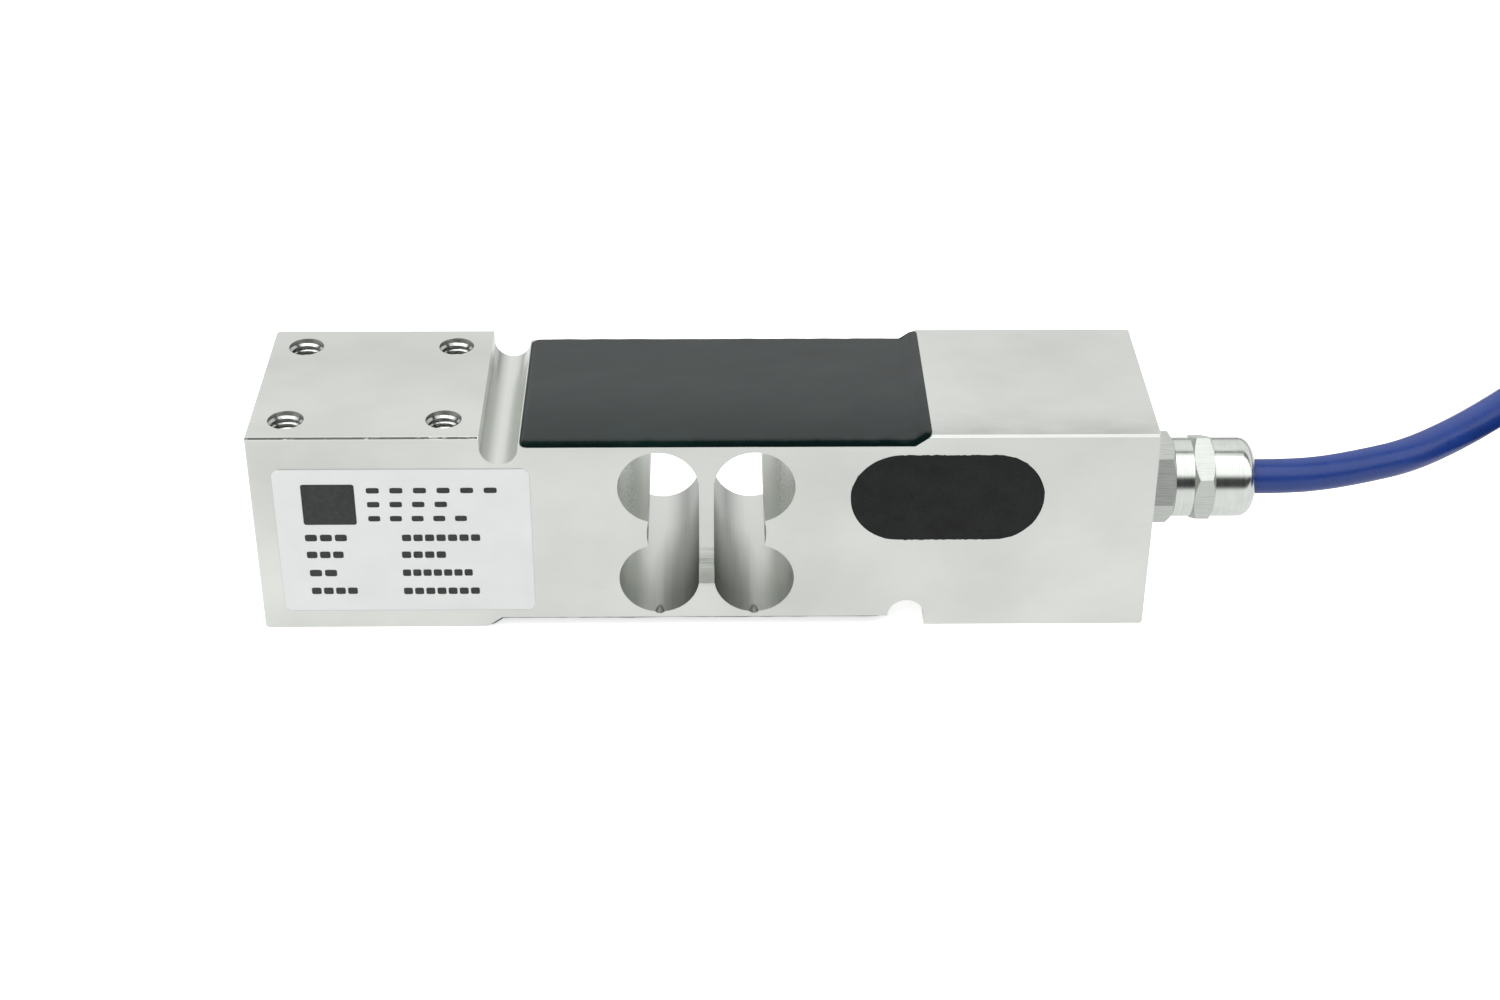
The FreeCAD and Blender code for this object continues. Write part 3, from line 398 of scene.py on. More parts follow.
def milled_aluminium():
    """Milled aluminium under a clear film: pale satin faces, rougher bores and front edge in painted shade, a
    few fine marks.
    """
    finish = bpy.context.scene.cell_finish.aluminium
    material, tree, shader = new_material("milled_aluminium", finish, 0.3, 1.0)
    colour = linear(finish)
    axes = piece_axes(tree)
    aside = calculate(tree, "ABSOLUTE", calculate(tree, "SUBTRACT", axes["X"], SECTION_X))
    clouds = spread(tree, grain(tree, (30, 22, 22), 4.0), 0.0, 1.0)
    lines = grain(tree, (11, 0.3, 0.3), 3.0)
    speckle = spread(tree, grain(tree, (0.3, 0.6, 0.3), 4.0), 0.0, 1.0)
    middle = Vector((SECTION_X, 0, MID_Z))
    span = Vector((OPENING_REACH, BEAM_HIGH.y - HAIR, MID_Z - OPENING_MARGIN))
    bored = within(tree, middle - span, middle + span)
    web = within(tree, middle - Vector((WEB_HALF, 1, 1)), middle + Vector((WEB_HALF, 1, 1)))
    skin = unworked_skin(tree, axes, aside, bored)

    tone = milled_face(tree, colour, clouds)
    walls = painted_bore_shade(tree, colour, axes, aside)
    # painted shade inside the openings, but not on the web
    tone = blend_colours(tree, calculate(tree, "SUBTRACT", bored, web), tone, walls)
    tone = add_tool_marks(tree, tone, colour)
    tone = add_groove(tree, tone, colour, axes)
    grainy = blend_colours(tree, speckle, shade(colour, 0.85), shade(colour, 1.2))
    tone = blend_colours(tree, skin, tone, grainy)
    tone = add_front_greying(tree, tone, colour, axes, clouds)
    tone = paint_edge_shade(tree, tone, colour)
    tree.links.new(tone, shader.inputs["Base Color"])

    duller = calculate(tree, "MULTIPLY", calculate(tree, "ADD", bored, skin), 0.05)
    rough = calculate(tree, "ADD", spread(tree, lines, 0.29, 0.33), duller)
    tree.links.new(rough, shader.inputs["Roughness"])
    lumps = calculate(tree, "MULTIPLY", speckle, calculate(tree, "MULTIPLY", skin, 4.0))
    bumps(tree, shader, calculate(tree, "ADD", lines, lumps), 0.03, 0.02)
    return material


def tapped_aluminium():
    """Freshly cut thread in aluminium: bright flanks that mirror the room as thin light and dark rings."""
    colour = "#BDC0BC"
    material, tree, shader = new_material("tapped_aluminium", colour, 0.14, 1.0)
    flutes = grain(tree, (0.5, 0.5, 0.16), 2.0)
    tint(tree, shader, linear(colour), spread(tree, flutes, 0.0, 1.0), 0.7, 1.15)
    tree.links.new(spread(tree, flutes, 0.08, 0.22), shader.inputs["Roughness"])
    return material


def sealing_compound():
    """Silicone sealing compound, poured and levelled: black, with a skin that mirrors the room softly."""
    colour = bpy.context.scene.cell_finish.compound
    material, tree, shader = new_material("sealing_compound", colour, 0.2)
    tint(tree, shader, linear(colour), spread(tree, grain(tree, (13, 8, 8), 3.0), 0.0, 1.0), 0.7, 1.3)
    tree.links.new(spread(tree, grain(tree, (9, 5, 5)), 0.16, 0.24), shader.inputs["Roughness"])
    waves = grain(tree, (24, 16, 16), 3.0)
    pits = spread(tree, grain(tree, (0.5, 0.5, 0.5), 1.0), 0.0, 1.0, (0.76, 0.82))
    # the skin mirrors less from back to front, and not at all along a ragged rim where it turns down
    ragged = calculate(tree, "MULTIPLY", grain(tree, (3.5, 20, 20), 5.0, 0.65), 1.6 * MM)
    across = calculate(tree, "SUBTRACT", piece_axes(tree)["Y"], ragged)
    fade = spread(tree, across, 0.3, 0.5, (FACE_Y + 1.5 * MM, FACE_Y + 18 * MM))
    rim = spread(tree, across, 0.0, 1.0, (FACE_Y - 0.2 * MM, FACE_Y + 1.3 * MM))
    tree.links.new(calculate(tree, "MULTIPLY", fade, rim), shader.inputs["Specular IOR Level"])
    bumps(tree, shader, calculate(tree, "ADD", waves, calculate(tree, "MULTIPLY", pits, -0.1)), 0.4, 0.6)
    return material


def casting_resin():
    """Filled epoxy resin: black with a dull, faintly lumpy skin."""
    colour = bpy.context.scene.cell_finish.casting
    material, tree, shader = new_material("casting_resin", colour, 0.5)
    shader.inputs["Specular IOR Level"].default_value = 0.3
    tint(tree, shader, linear(colour), spread(tree, grain(tree, (4, 4, 3), 4.0), 0.0, 1.0), 0.6, 1.5)
    fine = grain(tree, (0.5, 0.5, 0.5), 3.0)
    tree.links.new(spread(tree, fine, 0.42, 0.62), shader.inputs["Roughness"])
    bumps(tree, shader, fine, 0.15, 0.08)
    return material


def polyester_film():
    """White polyester label film: soft gloss, the least mottling, and a painted shadow line along its edge.
    """
    colour = bpy.context.scene.cell_finish.label
    material, tree, shader = new_material("polyester_film", colour, 0.4)
    pale = linear(colour)
    mottle = spread(tree, grain(tree, (9, 9, 7), 3.0), 0.0, 1.0)
    rim = Vector((0.04 * MM, -MM, 0.09 * MM))
    inside = within(tree, LABEL_LOW + rim, LABEL_HIGH - rim)
    body = blend_colours(tree, mottle, shade(pale, 0.965), shade(pale, 1.02))
    # painted shadow: a grey line round the label's edge
    tree.links.new(blend_colours(tree, inside, shade(pale, 0.62), body), shader.inputs["Base Color"])
    tree.links.new(spread(tree, grain(tree, (0.4, 0.4, 0.4)), 0.34, 0.46), shader.inputs["Roughness"])
    return material


def label_ink():
    """Screen-printed ink: dark grey, a little uneven, matt against the film."""
    colour = bpy.context.scene.cell_finish.print_ink
    material, tree, shader = new_material("label_ink", colour, 0.5)
    tint(tree, shader, linear(colour), spread(tree, grain(tree, (0.8, 0.8, 0.8), 3.0), 0.0, 1.0), 0.8, 1.4)
    return material


def nickel_plate():
    """Nickel plate on brass: bright turned barrels with hairline rings, and hexagon flats milled duller."""
    colour = bpy.context.scene.cell_finish.nickel
    material, tree, shader = new_material("nickel_plate", colour, 0.16, 1.0)
    base = linear(colour)
    rings = grain(tree, (0.14, 9, 9), 3.0)
    flats = [within(tree, (low, -1.0, -1.0), (high, 1.0, 1.0)) for low, high in HEXAGONS]
    any_flat = calculate(tree, "ADD", *flats)
    cloud = calculate(tree, "MULTIPLY", grain(tree, (2.5, 2.5, 2.5), 3.0), 0.4)
    tone = calculate(tree, "ADD", calculate(tree, "MULTIPLY", rings, 0.6), cloud)
    turned = blend_colours(tree, spread(tree, tone, 0.0, 1.0), shade(base, 0.86), shade(base, 1.06))
    # the first hexagon has the deeper strokes
    strokes = spread(tree, grain(tree, (5, 0.12, 0.12), 3.0), 0.0, 1.0, (0.4, 0.52))
    scored = blend_colours(tree, flats[0], shade(base, 0.8), shade(base, 0.74))
    milled = blend_colours(tree, strokes, scored, shade(base, 0.9))
    tree.links.new(blend_colours(tree, any_flat, turned, milled), shader.inputs["Base Color"])
    duller = calculate(tree, "MULTIPLY", any_flat, 0.32)
    rough = calculate(tree, "ADD", spread(tree, rings, 0.13, 0.22), duller)
    tree.links.new(rough, shader.inputs["Roughness"])
    bumps(tree, shader, rings, 0.12, 0.02)
    return material


def cable_pvc(name="cable_pvc"):
    """Extruded PVC jacket: royal blue, smooth and a little glossy, with the faint drag of the die."""
    colour = bpy.context.scene.cell_cable.jacket
    material, tree, shader = new_material(name, colour, 0.3)
    tint(tree, shader, linear(colour), spread(tree, grain(tree, (7, 7, 7), 3.0), 0.0, 1.0), 0.9, 1.1)
    skin = grain(tree, (1.6, 0.7, 0.7), 3.0)
    tree.links.new(spread(tree, skin, 0.26, 0.38), shader.inputs["Roughness"])
    bumps(tree, shader, skin, 0.08, 0.05)
    return material


def moulded_plastic(name, colour, roughness=0.35, feature=0.6):
    """Moulded or drawn plastic: an even colour broken by a fine orange-peel skin."""
    material, tree, shader = new_material(name, colour, roughness)
    skin = grain(tree, (feature, feature, feature), 3.0)
    tint(tree, shader, linear(colour), spread(tree, skin, 0.0, 1.0), 0.86, 1.12)
    tree.links.new(spread(tree, skin, roughness - 0.06, roughness + 0.08), shader.inputs["Roughness"])
    bumps(tree, shader, skin, 0.15, 0.05)
    return material


def drawn_metal(name, colour, roughness=0.28, feature=(0.2, 3.0, 3.0)):
    """Drawn, turned or etched metal: fine lines that soften its shine."""
    material, tree, shader = new_material(name, colour, roughness, 1.0)
    lines = grain(tree, feature, 3.0)
    tint(tree, shader, linear(colour), spread(tree, lines, 0.0, 1.0), 0.75, 1.08)
    tree.links.new(spread(tree, lines, roughness - 0.08, roughness + 0.1), shader.inputs["Roughness"])
    return material


def gauge_foil():
    """Amber polyimide film that carries a grid of grey constantan foil."""
    material, tree, shader = new_material("gauge_foil", "#C58A3A", 0.3)
    from_middle = calculate(tree, "ABSOLUTE", calculate(tree, "SUBTRACT", piece_axes(tree)["Z"], MID_Z))
    grid = calculate(tree, "GREATER_THAN", from_middle, MID_Z - RECESS_DEPTH + 0.07 * MM)
    film = spread(tree, grain(tree, (1, 1, 1), 3.0), 0.0, 1.0)
    amber = blend_colours(tree, film, linear("#B4782C"), linear("#CE9445"))
    tree.links.new(blend_colours(tree, grid, amber, linear("#A9A29A")), shader.inputs["Base Color"])
    tree.links.new(grid, shader.inputs["Metallic"])
    return material


# ---- free cable ----
# The route's points in millimetres: the run from the gland's nose to the coil.
LEAD_ROUTE = [
    (39.25, 0.0, 18.2),
    (45.45, 0.0, 18.2),
    (52.05, 1.1, 18.1),
    (59.85, 3.7, 18.0),
    (68.25, 7.0, 18.0),
    (76.85, 12.6, 18.3),
    (85.5, 19.0, 19.0),
    (96.5, 28.0, 20.2),
    (104.5, 34.6, 21.6),
]
COIL_MIDDLE = (137.9, 11.5)
COIL_HEADING = 39.3
# The coil is wound down its outer column and up its inner one, in this many turns and layers.
COIL_TURNS = 7
COIL_LAYERS = 4
# The tail's points on the coil: angle in degrees, radius and height in millimetres.
TAIL = [(105, 33.2, 23.9), (81, 34.6, 27.4), (57, 36, 29.15), (33, 36, 29.15), (9, 36, 29.15)]


def on_coil(angle, radius, height):
    """A point on the coil, from an angle in degrees and millimetres."""
    turn = math.radians(angle)
    return (COIL_MIDDLE[0] + radius * math.cos(turn), COIL_MIDDLE[1] + radius * math.sin(turn), height)


def ease(t):
    """A smooth step from nought to one."""
    t = min(1.0, max(0.0, t))
    return t * t * (3 - 2 * t)


def coil_turns(settings):
    """Control points of the wound turns, each a little outside, since the curve cuts its corners."""
    step = settings.diameter / MM
    outer = settings.outer_turn / MM
    top = settings.top_layer / MM
    count = settings.points_per_turn
    outside = 1 / (0.75 + 0.25 * math.cos(2 * math.pi / count))
    crossing = 60       # degrees in which a turn steps down, across or up
    down_from, up_from = 270, 12
    across_from = 360 * (COIL_LAYERS - 1) + down_from
    points = []
    for i in range(COIL_TURNS * count + 1):
        turned = i * 360 / count
        sunk = sum(ease((turned - 360 * k - down_from) / crossing) for k in range(COIL_LAYERS - 1))
        sunk -= sum(ease((turned - 360 * k - up_from) / crossing) for k in range(COIL_LAYERS, COIL_TURNS))
        radius = outer - step * ease((turned - across_from) / crossing)
        points.append(on_coil(COIL_HEADING + 90 - turned, radius * outside, top - sunk * step))
    return points


class LayCable(bpy.types.Operator):
    """Lays the free cable: out of the gland, into its coil, and on top to the stripped end"""
    bl_idname = "loadcell.lay_cable"
    bl_label = "Lay the cable"

    def execute(self, context):
        settings = context.scene.cell_cable
        route = LEAD_ROUTE + coil_turns(settings) + [on_coil(*place) for place in TAIL]
        curve = bpy.data.curves.new("signal_cable", "CURVE")
        curve.dimensions = "3D"
        curve.bevel_depth = settings.diameter / 2
        curve.bevel_resolution = 6
        curve.use_fill_caps = True
        spline = curve.splines.new("NURBS")
        spline.points.add(len(route) - 1)
        for point, place in zip(spline.points, route):
            point.co = (*[value * MM for value in place], 1.0)
        spline.order_u = 3
        spline.use_endpoint_u = True
        spline.resolution_u = 6
        cable = bpy.data.objects.new("signal_cable", curve)
        context.scene.collection.objects.link(cable)
        curve.materials.append(cable_pvc())
        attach(cable, "root")
        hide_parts("cable_lead", "cable_coil", "cable_tail")
        ends = ["coil_ties", "end_sleeve", "lead_tips"]
        ends += ["free_lead_" + colour for colour in ("red", "black", "green", "white", "screen")]
        return {"FINISHED"}


# ---- block ----
def thread_ridge(radius, depth, pitch):
    """The helical ridge of a tapped hole at the origin, from near z = -depth up to the mouth."""
    deselect_all()
    height = 0.4 * pitch
    turns = int(depth / pitch)
    foot = Vector((radius - height / 2, 0, -pitch * (turns + 0.55)))
    bpy.ops.mesh.primitive_plane_add(size=1, location=foot, rotation=(math.pi / 2, 0, 0))
    ridge = bpy.context.object
    ridge.scale = (height + 0.04 * MM, 0.88 * pitch, 1)
    bpy.ops.object.transform_apply(location=True, rotation=True, scale=True)
    bpy.ops.object.mode_set(mode="EDIT")
    select_where(ridge, "verts", lambda v: v.co.x < radius - height / 2)
    bpy.ops.transform.resize(value=(1, 1, 0.18), center_override=(radius, 0, foot.z))
    bpy.ops.mesh.select_all(action="SELECT")
    bpy.ops.mesh.delete(type="ONLY_FACE")
    bpy.ops.object.mode_set(mode="OBJECT")
    apply_modifier(ridge, "SCREW", axis="Z", angle=2 * math.pi, screw_offset=pitch, iterations=turns,
                   steps=32, render_steps=32, use_smooth_shade=True)
    bpy.ops.object.mode_set(mode="EDIT")
    bpy.ops.mesh.select_all(action="SELECT")
    bpy.ops.mesh.fill_holes(sides=4)
    bpy.ops.mesh.select_all(action="SELECT")
    bpy.ops.mesh.normals_make_consistent(inside=False)
    bpy.ops.object.mode_set(mode="OBJECT")
    return ridge


class FinishBlock(bpy.types.Operator):
    """Gives the block its milled finish and cuts the threads of its tapped holes"""
    bl_idname = "loadcell.finish_block"
    bl_label = "Finish the block"

    def execute(self, context):
        dress(milled_aluminium(), "beam_body")
        tapped = tapped_aluminium()
        pitch = context.scene.cell_finish.thread_pitch
        for mount in frame["record"]["mounts"]:
            if mount["kind"] != "bolt_pattern":
                continue
            middle = Vector(mount["pos_m"])
            radius = mount["dims"]["hole_r_mm"] * MM
            pitch_x = mount["dims"]["spacing_x_mm"] * MM / 2
            pitch_y = mount["dims"]["spacing_y_mm"] * MM / 2
            ridge = thread_ridge(radius, TAP_DEPTH, pitch)
            if mount["axis"][2] < 0:
                ridge.data.transform(Matrix.Rotation(math.pi, 4, "X"))
            corners = [Vector((x, y, 0)) for x in (-pitch_x, pitch_x) for y in (-pitch_y, pitch_y)]
            threads = repeat_piece(ridge, [Matrix.Translation(middle + corner) for corner in corners])
            finish_piece(threads, "threads_" + mount["name"], tapped)
        return {"FINISHED"}


# ---- compound ----
def wander(piece, axis, size, strength):
    """Lets a drawn outline wander along one axis; size and strength are in millimetres."""
    clouds = bpy.data.textures.new("wander", "CLOUDS")
    clouds.noise_scale = size * MM
    clouds.noise_depth = 2
    apply_modifier(piece, "DISPLACE", texture=clouds, direction=axis, strength=strength * MM)


def rounded_plate(length, width, corner, spacing):
    """A flat plate from x = 0 with round corners, its outline divided about every spacing."""
    deselect_all()
    bpy.ops.mesh.primitive_plane_add(size=1, location=(length / 2, 0, 0))
    plate = bpy.context.object
    plate.scale = (length, width, 1)
    bpy.ops.object.transform_apply(location=True, rotation=True, scale=True)
    bpy.ops.object.mode_set(mode="EDIT")
    bpy.ops.mesh.select_all(action="SELECT")
    bpy.ops.mesh.bevel(affect="VERTICES", offset=corner, segments=12)
    longest = min(length, width) / 3
    select_where(plate, "edges", lambda e: e.calc_length() > longest)
    bpy.ops.mesh.subdivide(number_cuts=int(length / spacing))
    bpy.ops.object.mode_set(mode="OBJECT")
    return plate


def poured_film(length, width, thickness):
    """A poured film from x = 0 along the recess floor and up its end slope, flush with the face above."""
    # from the edge inwards, each step's run in millimetres and its rise as a share of the thickness
    rim = ((0.1, 0.2), (0.5, 0.6), (0.25, 0.12), (0.04, 0.0))
    slope = math.atan2(RECESS_DEPTH, SLOPE_RUN)
    foot = length - SLOPE_RUN
    flush = RECESS_DEPTH - 0.01 * MM
    reach = foot + math.hypot(SLOPE_RUN, RECESS_DEPTH)
    film = rounded_plate(reach, width, 1.6 * MM, 0.9 * MM)
    wander(film, "Y", 3.5, 0.35)
    bpy.ops.object.mode_set(mode="EDIT")
    bpy.ops.mesh.select_all(action="SELECT")
    bpy.ops.mesh.extrude_region_move(TRANSFORM_OT_translate={"value": (0, 0, 0.4 * thickness)})
    for inward, rise in rim:
        bpy.ops.mesh.inset(thickness=inward * MM)
        bpy.ops.transform.translate(value=(0, 0, rise * thickness))
    bpy.ops.mesh.select_all(action="SELECT")
    bpy.ops.mesh.bisect(plane_co=(foot, 0, 0), plane_no=(1, 0, 0))
    select_where(film, "verts", lambda v: v.co.x > foot + 0.01 * MM)
    bpy.ops.transform.rotate(value=slope, orient_axis="Y", center_override=(foot, 0, 0))
    select_where(film, "verts", lambda v: v.co.z > flush)
    bpy.ops.transform.resize(value=(1, 1, 0), center_override=(foot, 0, flush))
    bpy.ops.object.mode_set(mode="OBJECT")
    return film


class PourCompound(bpy.types.Operator):
    """Pours the compound over the gauges, above and below, and fills the side pocket"""
    bl_idname = "loadcell.pour_compound"
    bl_label = "Pour the compound"

    def execute(self, context):
        compound = sealing_compound()
        turned_over = Matrix.Rotation(math.pi, 4, "Y")
        for side, start, turn in (("top", 0, Matrix()), ("bottom", 1, turned_over)):
            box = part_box(side + "_potting")
            thickness = context.scene.cell_finish.film_thickness
            film = poured_film(box[1].x - box[0].x, box[1].y - box[0].y, thickness)
            floor = BEAM_HIGH.z - RECESS_DEPTH if side == "top" else BEAM_LOW.z + RECESS_DEPTH
            film.data.transform(Matrix.Translation((box[start].x, 0, floor)) @ turn)
            finish_piece(film, side + "_film", compound, 40)
            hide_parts(side + "_potting")
        resin = casting_resin()
        dress(resin, "pocket_potting")
        pocket_low, pocket_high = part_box("pocket_potting")
        length = BEAM_HIGH.x - POCKET_INSET - pocket_low.x
        skin = rounded_plate(length, POCKET_HEIGHT, POCKET_HEIGHT / 2 - 0.02 * MM, 0.3 * MM)
        wander(skin, "X", 0.8, 0.5)
        wander(skin, "Y", 0.9, 0.5)
        bpy.ops.object.mode_set(mode="EDIT")
        bpy.ops.mesh.select_all(action="SELECT")
        bpy.ops.mesh.extrude_region_move(TRANSFORM_OT_translate={"value": (0, 0, 0.06 * MM)})
        bpy.ops.mesh.inset(thickness=0.06 * MM)
        bpy.ops.object.mode_set(mode="OBJECT")
        upright = Matrix.Rotation(math.pi / 2, 4, "X")
        place = Vector((pocket_low.x, FACE_Y + 0.01 * MM, pocket_high.z - POCKET_HEIGHT / 2))
        skin.data.transform(Matrix.Translation(place) @ upright)
        finish_piece(skin, "pocket_skin", resin)
        return {"FINISHED"}


# ---- label ----
# The label's plain print, in millimetres from the block's lower left corner. A row of marks: where it
# starts and ends, the height of its middle, how tall and how many the marks are, and their share of it.
PRINT_FIELD = (8.4, 17.2, 20.9, 28.7)
PRINT_ROWS = [
    (19.15, 40.7, 27.5, 1.05, 6, 0.55),
    (19.15, 32.35, 24.8, 1.05, 4, 0.55),
    (19.15, 35.5, 22.05, 1.05, 5, 0.55),
    (8.33, 15.3, 18.3, 1.3, 3, 0.8),
    (24.47, 37.5, 18.25, 1.3, 7, 0.8),
    (8.36, 14.5, 14.95, 1.3, 3, 0.8),
    (24.24, 31.6, 14.9, 1.3, 4, 0.8),
    (8.55, 13.1, 11.3, 1.3, 2, 0.8),
    (24.16, 35.9, 11.3, 1.3, 7, 0.8),
    (8.57, 16.3, 7.7, 1.3, 4, 0.8),
    (24.09, 36.9, 7.6, 1.3, 7, 0.8),
]


def print_mark(corner):
    """One printed mark at the origin, a millimetre long and high, with round corners; it faces -Y."""
    mark = add_block((-0.5 * MM, -0.02 * MM, -0.5 * MM), (0.5 * MM, 0.01 * MM, 0.5 * MM))
    bpy.ops.object.mode_set(mode="EDIT")
    select_where(mark, "edges", lambda e: abs(e.verts[0].co.y - e.verts[1].co.y) > 0.02 * MM)
    bpy.ops.mesh.bevel(offset=corner, segments=4)
    bpy.ops.object.mode_set(mode="OBJECT")
    return mark


def place_mark(x_middle, z_middle, length, height):
    """Where a mark of this size goes, in millimetres from the block's lower left corner."""
    place = Vector((BEAM_LOW.x + x_middle * MM, LABEL_LOW.y, BEAM_LOW.z + z_middle * MM))
    return Matrix.Translation(place) @ Matrix.Diagonal((length, 1, height, 1))


class StickLabel(bpy.types.Operator):
    """Sticks the label on and prints its plain shapes"""
    bl_idname = "loadcell.stick_label"
    bl_label = "Stick the label"

    def execute(self, context):
        dress(polyester_film(), "rating_label")
        ink = label_ink()
        left, right, low, high = PRINT_FIELD
        field = repeat_piece(print_mark(0.05 * MM), [
            place_mark((left + right) / 2, (low + high) / 2, right - left, high - low)])
        finish_piece(field, "print_field", ink)
        places = []
        for start, end, middle, height, count, share in PRINT_ROWS:
            pitch = (end - start) / (count - 1 + share)
            for i in range(count):
                places.append(place_mark(start + (i + share / 2) * pitch, middle, share * pitch, height))
        rows = repeat_piece(print_mark(0.22 * MM), places)
        finish_piece(rows, "print_rows", ink)
        return {"FINISHED"}


# ---- gland ----
class FitGland(bpy.types.Operator):
    """Plates the cable gland"""
    bl_idname = "loadcell.fit_gland"
    bl_label = "Fit the gland"

    def execute(self, context):
        dress(nickel_plate(), "gland_body", "gland_cap_nut")
        dress(moulded_plastic("washer_nylon", "#F0F1EE", 0.4), "gland_washer")
        dress(moulded_plastic("seal_rubber", "#1B1B1B", 0.6), "gland_seal")
        dress(drawn_metal("turned_brass", "#C9A65C", 0.25), "gland_clamp_ring")
        dress(cable_pvc("inlet_pvc"), "cable_inlet")
        return {"FINISHED"}


# ---- gauges and board ----
class FitCircuit(bpy.types.Operator):
    """Finishes the gauges, their wires and the trim board under the compound"""
    bl_idname = "loadcell.fit_circuit"
    bl_label = "Fit the circuit"

    def execute(self, context):
        gauges = ["gauge_%s_%s" % (side, end) for side in ("top", "bottom") for end in ("load", "fixed")]
        dress(gauge_foil(), *gauges)
        dress(drawn_metal("copper_pads", "#C8824F"), "terminals_top", "terminals_bottom")
        dress(drawn_metal("enamelled_wire", "#9A4A25"), "bridge_wires_top", "bridge_wires_bottom")
        dress(moulded_plastic("board_laminate", "#2E6B3E", 0.35, 1.2), "trim_board")
        dress(moulded_plastic("chip_ceramic", "#1E1E1E", 0.35, 0.2), "trim_resistors")
        return {"FINISHED"}


CORE_COLOURS = {"red": "#B4221C", "black": "#1C1C1C", "green": "#1E7A34", "white": "#E8E8E4"}


class DressCableEnd(bpy.types.Operator):
    """Finishes the ties, the sleeve and the stripped leads"""
    bl_idname = "loadcell.dress_cable_end"
    bl_label = "Dress the cable's end"

    def execute(self, context):
        for colour, insulation in CORE_COLOURS.items():
            core = moulded_plastic("core_" + colour, insulation, 0.35)
            dress(core, "board_lead_" + colour, "free_lead_" + colour)
        dress(moulded_plastic("screen_sleeving", "#C9B23A", 0.4), "free_lead_screen")
        dress(drawn_metal("tinned_copper", "#CFCFCB", 0.3), "lead_tips")
        dress(moulded_plastic("tie_nylon", "#1A1A1A", 0.45), "coil_ties")
        dress(moulded_plastic("shrink_sleeve", "#161616", 0.5), "end_sleeve")
        return {"FINISHED"}


# ---- studio ----
# The brightest light that the room's ramp can hold.
BRIGHTEST = 1.6
# The room's brightness by direction in degrees: 0 is the horizon in front of the label, 90 straight up
# and 180 the horizon behind.
ROOM_BANDS = [
    (0, 0.05), (25, 0.05), (36, 1.35), (88, 1.5), (94, 0.15), (107, 0.15), (114, 1.0), (163, 0.86),
    (173, 0.25), (180, 0.25),
]


def studio_world(level):
    """A white room with a lit ceiling and a dark front, which bright metal shows as bands."""
    world = bpy.data.worlds.new("studio")
    bpy.context.scene.world = world
    world.use_nodes = True
    tree = world.node_tree
    tree.nodes.clear()
    direction = add_node(tree, "ShaderNodeTexCoord").outputs["Generated"]
    axes = add_node(tree, "ShaderNodeSeparateXYZ", {"Vector": direction}).outputs
    forward = calculate(tree, "MULTIPLY", axes["Y"], -1.0)
    turn = calculate(tree, "ARCTAN2", axes["Z"], forward)
    ramp = add_node(tree, "ShaderNodeValToRGB", {0: spread(tree, turn, 0.0, 1.0, (0.0, math.pi))})
    stops = ramp.color_ramp.elements
    while len(stops) < len(ROOM_BANDS):
        stops.new(0.5)
    for stop, (angle, value) in zip(stops, ROOM_BANDS):
        stop.position = angle / 180
        stop.color = (value / BRIGHTEST, value / BRIGHTEST, value / BRIGHTEST, 1.0)
    light = add_node(tree, "ShaderNodeBackground", {
        "Color": ramp.outputs["Color"], "Strength": BRIGHTEST * level})
    seen = add_node(tree, "ShaderNodeBackground", {"Color": (1, 1, 1, 1), "Strength": 1.0})
    path = add_node(tree, "ShaderNodeLightPath")
    mixed = add_node(tree, "ShaderNodeMixShader", {
        0: path.outputs["Is Camera Ray"], 1: light.outputs[0], 2: seen.outputs[0]})
    add_node(tree, "ShaderNodeOutputWorld", {"Surface": mixed.outputs[0]})


def table_material(colour):
    """White table: it takes the object's soft shadow, and bright metal sees it evenly lit."""
    material = bpy.data.materials.new("white_table")
    material.use_nodes = True
    tree = material.node_tree
    tree.nodes.clear()
    matt = add_node(tree, "ShaderNodeBsdfDiffuse", {"Color": shade(linear(colour), 0.9)})
    glow = add_node(tree, "ShaderNodeEmission", {"Color": (1, 1, 1, 1), "Strength": 0.72})
    path = add_node(tree, "ShaderNodeLightPath")
    lit = add_node(tree, "ShaderNodeAddShader", {0: matt.outputs[0], 1: glow.outputs[0]})
    # metal sees the table fade towards the camera
    position = add_node(tree, "ShaderNodeNewGeometry").outputs["Position"]
    place = add_node(tree, "ShaderNodeSeparateXYZ", {"Vector": position})
    reach = spread(tree, place.outputs["Y"], 0.12, 0.97, (-0.26, -0.11))
    even = add_node(tree, "ShaderNodeEmission", {"Color": (1, 1, 1, 1), "Strength": reach})
    half = add_node(tree, "ShaderNodeMixShader", {0: 0.75, 1: matt.outputs[0], 2: even.outputs[0]})
    seen = add_node(tree, "ShaderNodeMixShader", {
        0: path.outputs["Is Camera Ray"], 1: matt.outputs[0], 2: lit.outputs[0]})
    shown = add_node(tree, "ShaderNodeMixShader", {
        0: path.outputs["Is Glossy Ray"], 1: seen.outputs[0], 2: half.outputs[0]})
    add_node(tree, "ShaderNodeOutputMaterial", {"Surface": shown.outputs[0]})
    return material


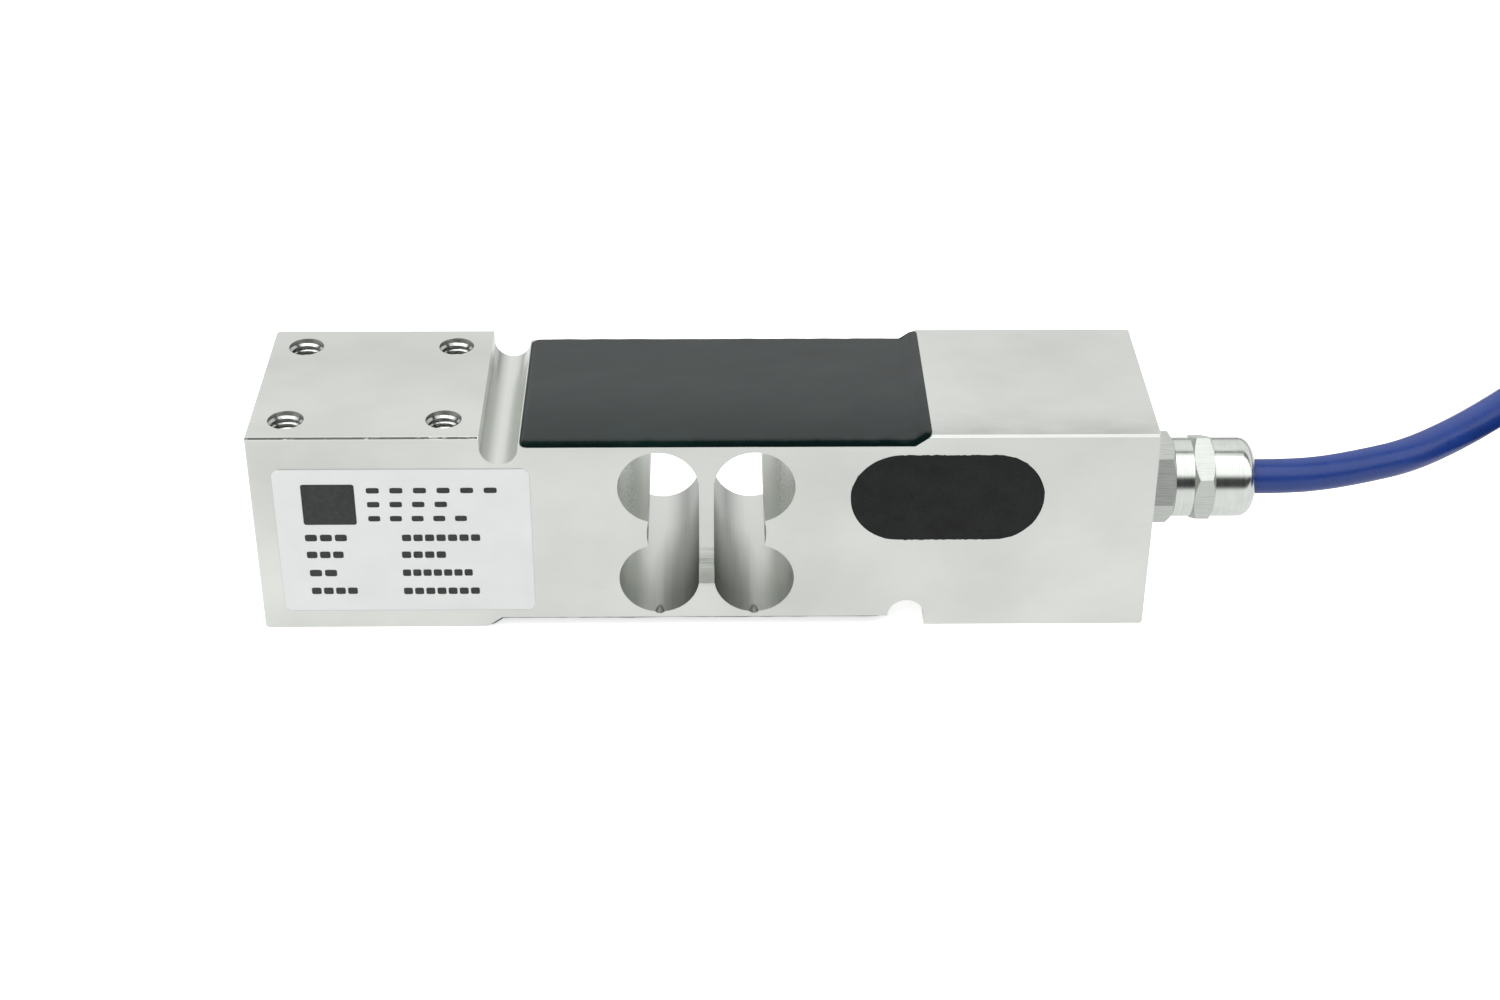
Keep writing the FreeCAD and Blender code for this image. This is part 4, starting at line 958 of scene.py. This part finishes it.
class BuildStudio(bpy.types.Operator):
    """Sets up the camera, the table, the walls' light and the lamp"""
    bl_idname = "loadcell.build_studio"
    bl_label = "Build the studio"

    def execute(self, context):
        settings = context.scene.cell_studio
        down, aside, lean = settings.camera_pitch, settings.camera_heading, settings.camera_roll
        forward = math.cos(down)
        ahead = Vector((math.sin(aside) * forward, math.cos(aside) * forward, -math.sin(down)))
        level = Vector((math.cos(aside), -math.sin(aside), 0))
        upright = level.cross(ahead)
        right = level * math.cos(lean) + upright * math.sin(lean)
        up = upright * math.cos(lean) - level * math.sin(lean)
        camera = bpy.data.cameras.new("studio_camera")
        camera.lens = settings.lens
        camera.sensor_width = 36
        camera.clip_start = 0.01
        camera.clip_end = 20
        holder = bpy.data.objects.new("studio_camera", camera)
        context.scene.collection.objects.link(holder)
        axes = Matrix((right, up, -ahead)).transposed().to_4x4()
        holder.matrix_world = Matrix.Translation(Vector(settings.camera_place)) @ axes
        context.scene.camera = holder
        context.scene.view_settings.view_transform = "Standard"

        deselect_all()
        bpy.ops.mesh.primitive_plane_add(size=8, location=(0, 0, 0))
        table = bpy.context.object
        table.name = "studio_table"
        table.data.materials.append(table_material(settings.floor))

        studio_world(settings.light_level)
        lamp = bpy.data.lights.new("softbox", "AREA")
        lamp.shape = "RECTANGLE"
        lamp.size = 0.9
        lamp.size_y = 0.7
        lamp.energy = 2.2
        box = bpy.data.objects.new("softbox", lamp)
        box.location = (-0.2, -0.15, 0.9)
        box.rotation_euler = (math.radians(-8), math.radians(-10), 0)
        context.scene.collection.objects.link(box)
        return {"FINISHED"}


class LoadCellPanel(bpy.types.Panel):
    """Steps and settings of the load cell"""
    bl_idname = "VIEW3D_PT_load_cell"
    bl_label = "Load cell"
    bl_space_type = "VIEW_3D"
    bl_region_type = "UI"
    bl_category = "Load cell"

    def draw(self, context):
        for operator in STEPS:
            self.layout.operator(operator.bl_idname)
        for group in (context.scene.cell_cable, context.scene.cell_finish, context.scene.cell_studio):
            box = self.layout.box()
            for name in group.__annotations__:
                box.prop(group, name)


GROUPS = {"cell_cable": CableSettings, "cell_finish": FinishSettings, "cell_studio": StudioSettings}
STEPS = (BuildStudio, LayCable, FinishBlock, PourCompound, StickLabel, FitGland, FitCircuit, DressCableEnd)


def register():
    for made in (*GROUPS.values(), *STEPS, LoadCellPanel):
        bpy.utils.register_class(made)
    for name, group in GROUPS.items():
        setattr(bpy.types.Scene, name, bpy.props.PointerProperty(type=group))


def unregister():
    for name in GROUPS:
        delattr(bpy.types.Scene, name)
    for made in reversed((*GROUPS.values(), *STEPS, LoadCellPanel)):
        bpy.utils.unregister_class(made)


def main():
    register()
    bpy.ops.loadcell.build_studio()
    bpy.ops.loadcell.lay_cable()
    bpy.ops.loadcell.finish_block()
    bpy.ops.loadcell.pour_compound()
    bpy.ops.loadcell.stick_label()
    bpy.ops.loadcell.fit_gland()
    bpy.ops.loadcell.fit_circuit()
    bpy.ops.loadcell.dress_cable_end()
    deselect_all()


if __name__ == "__main__":
    main()
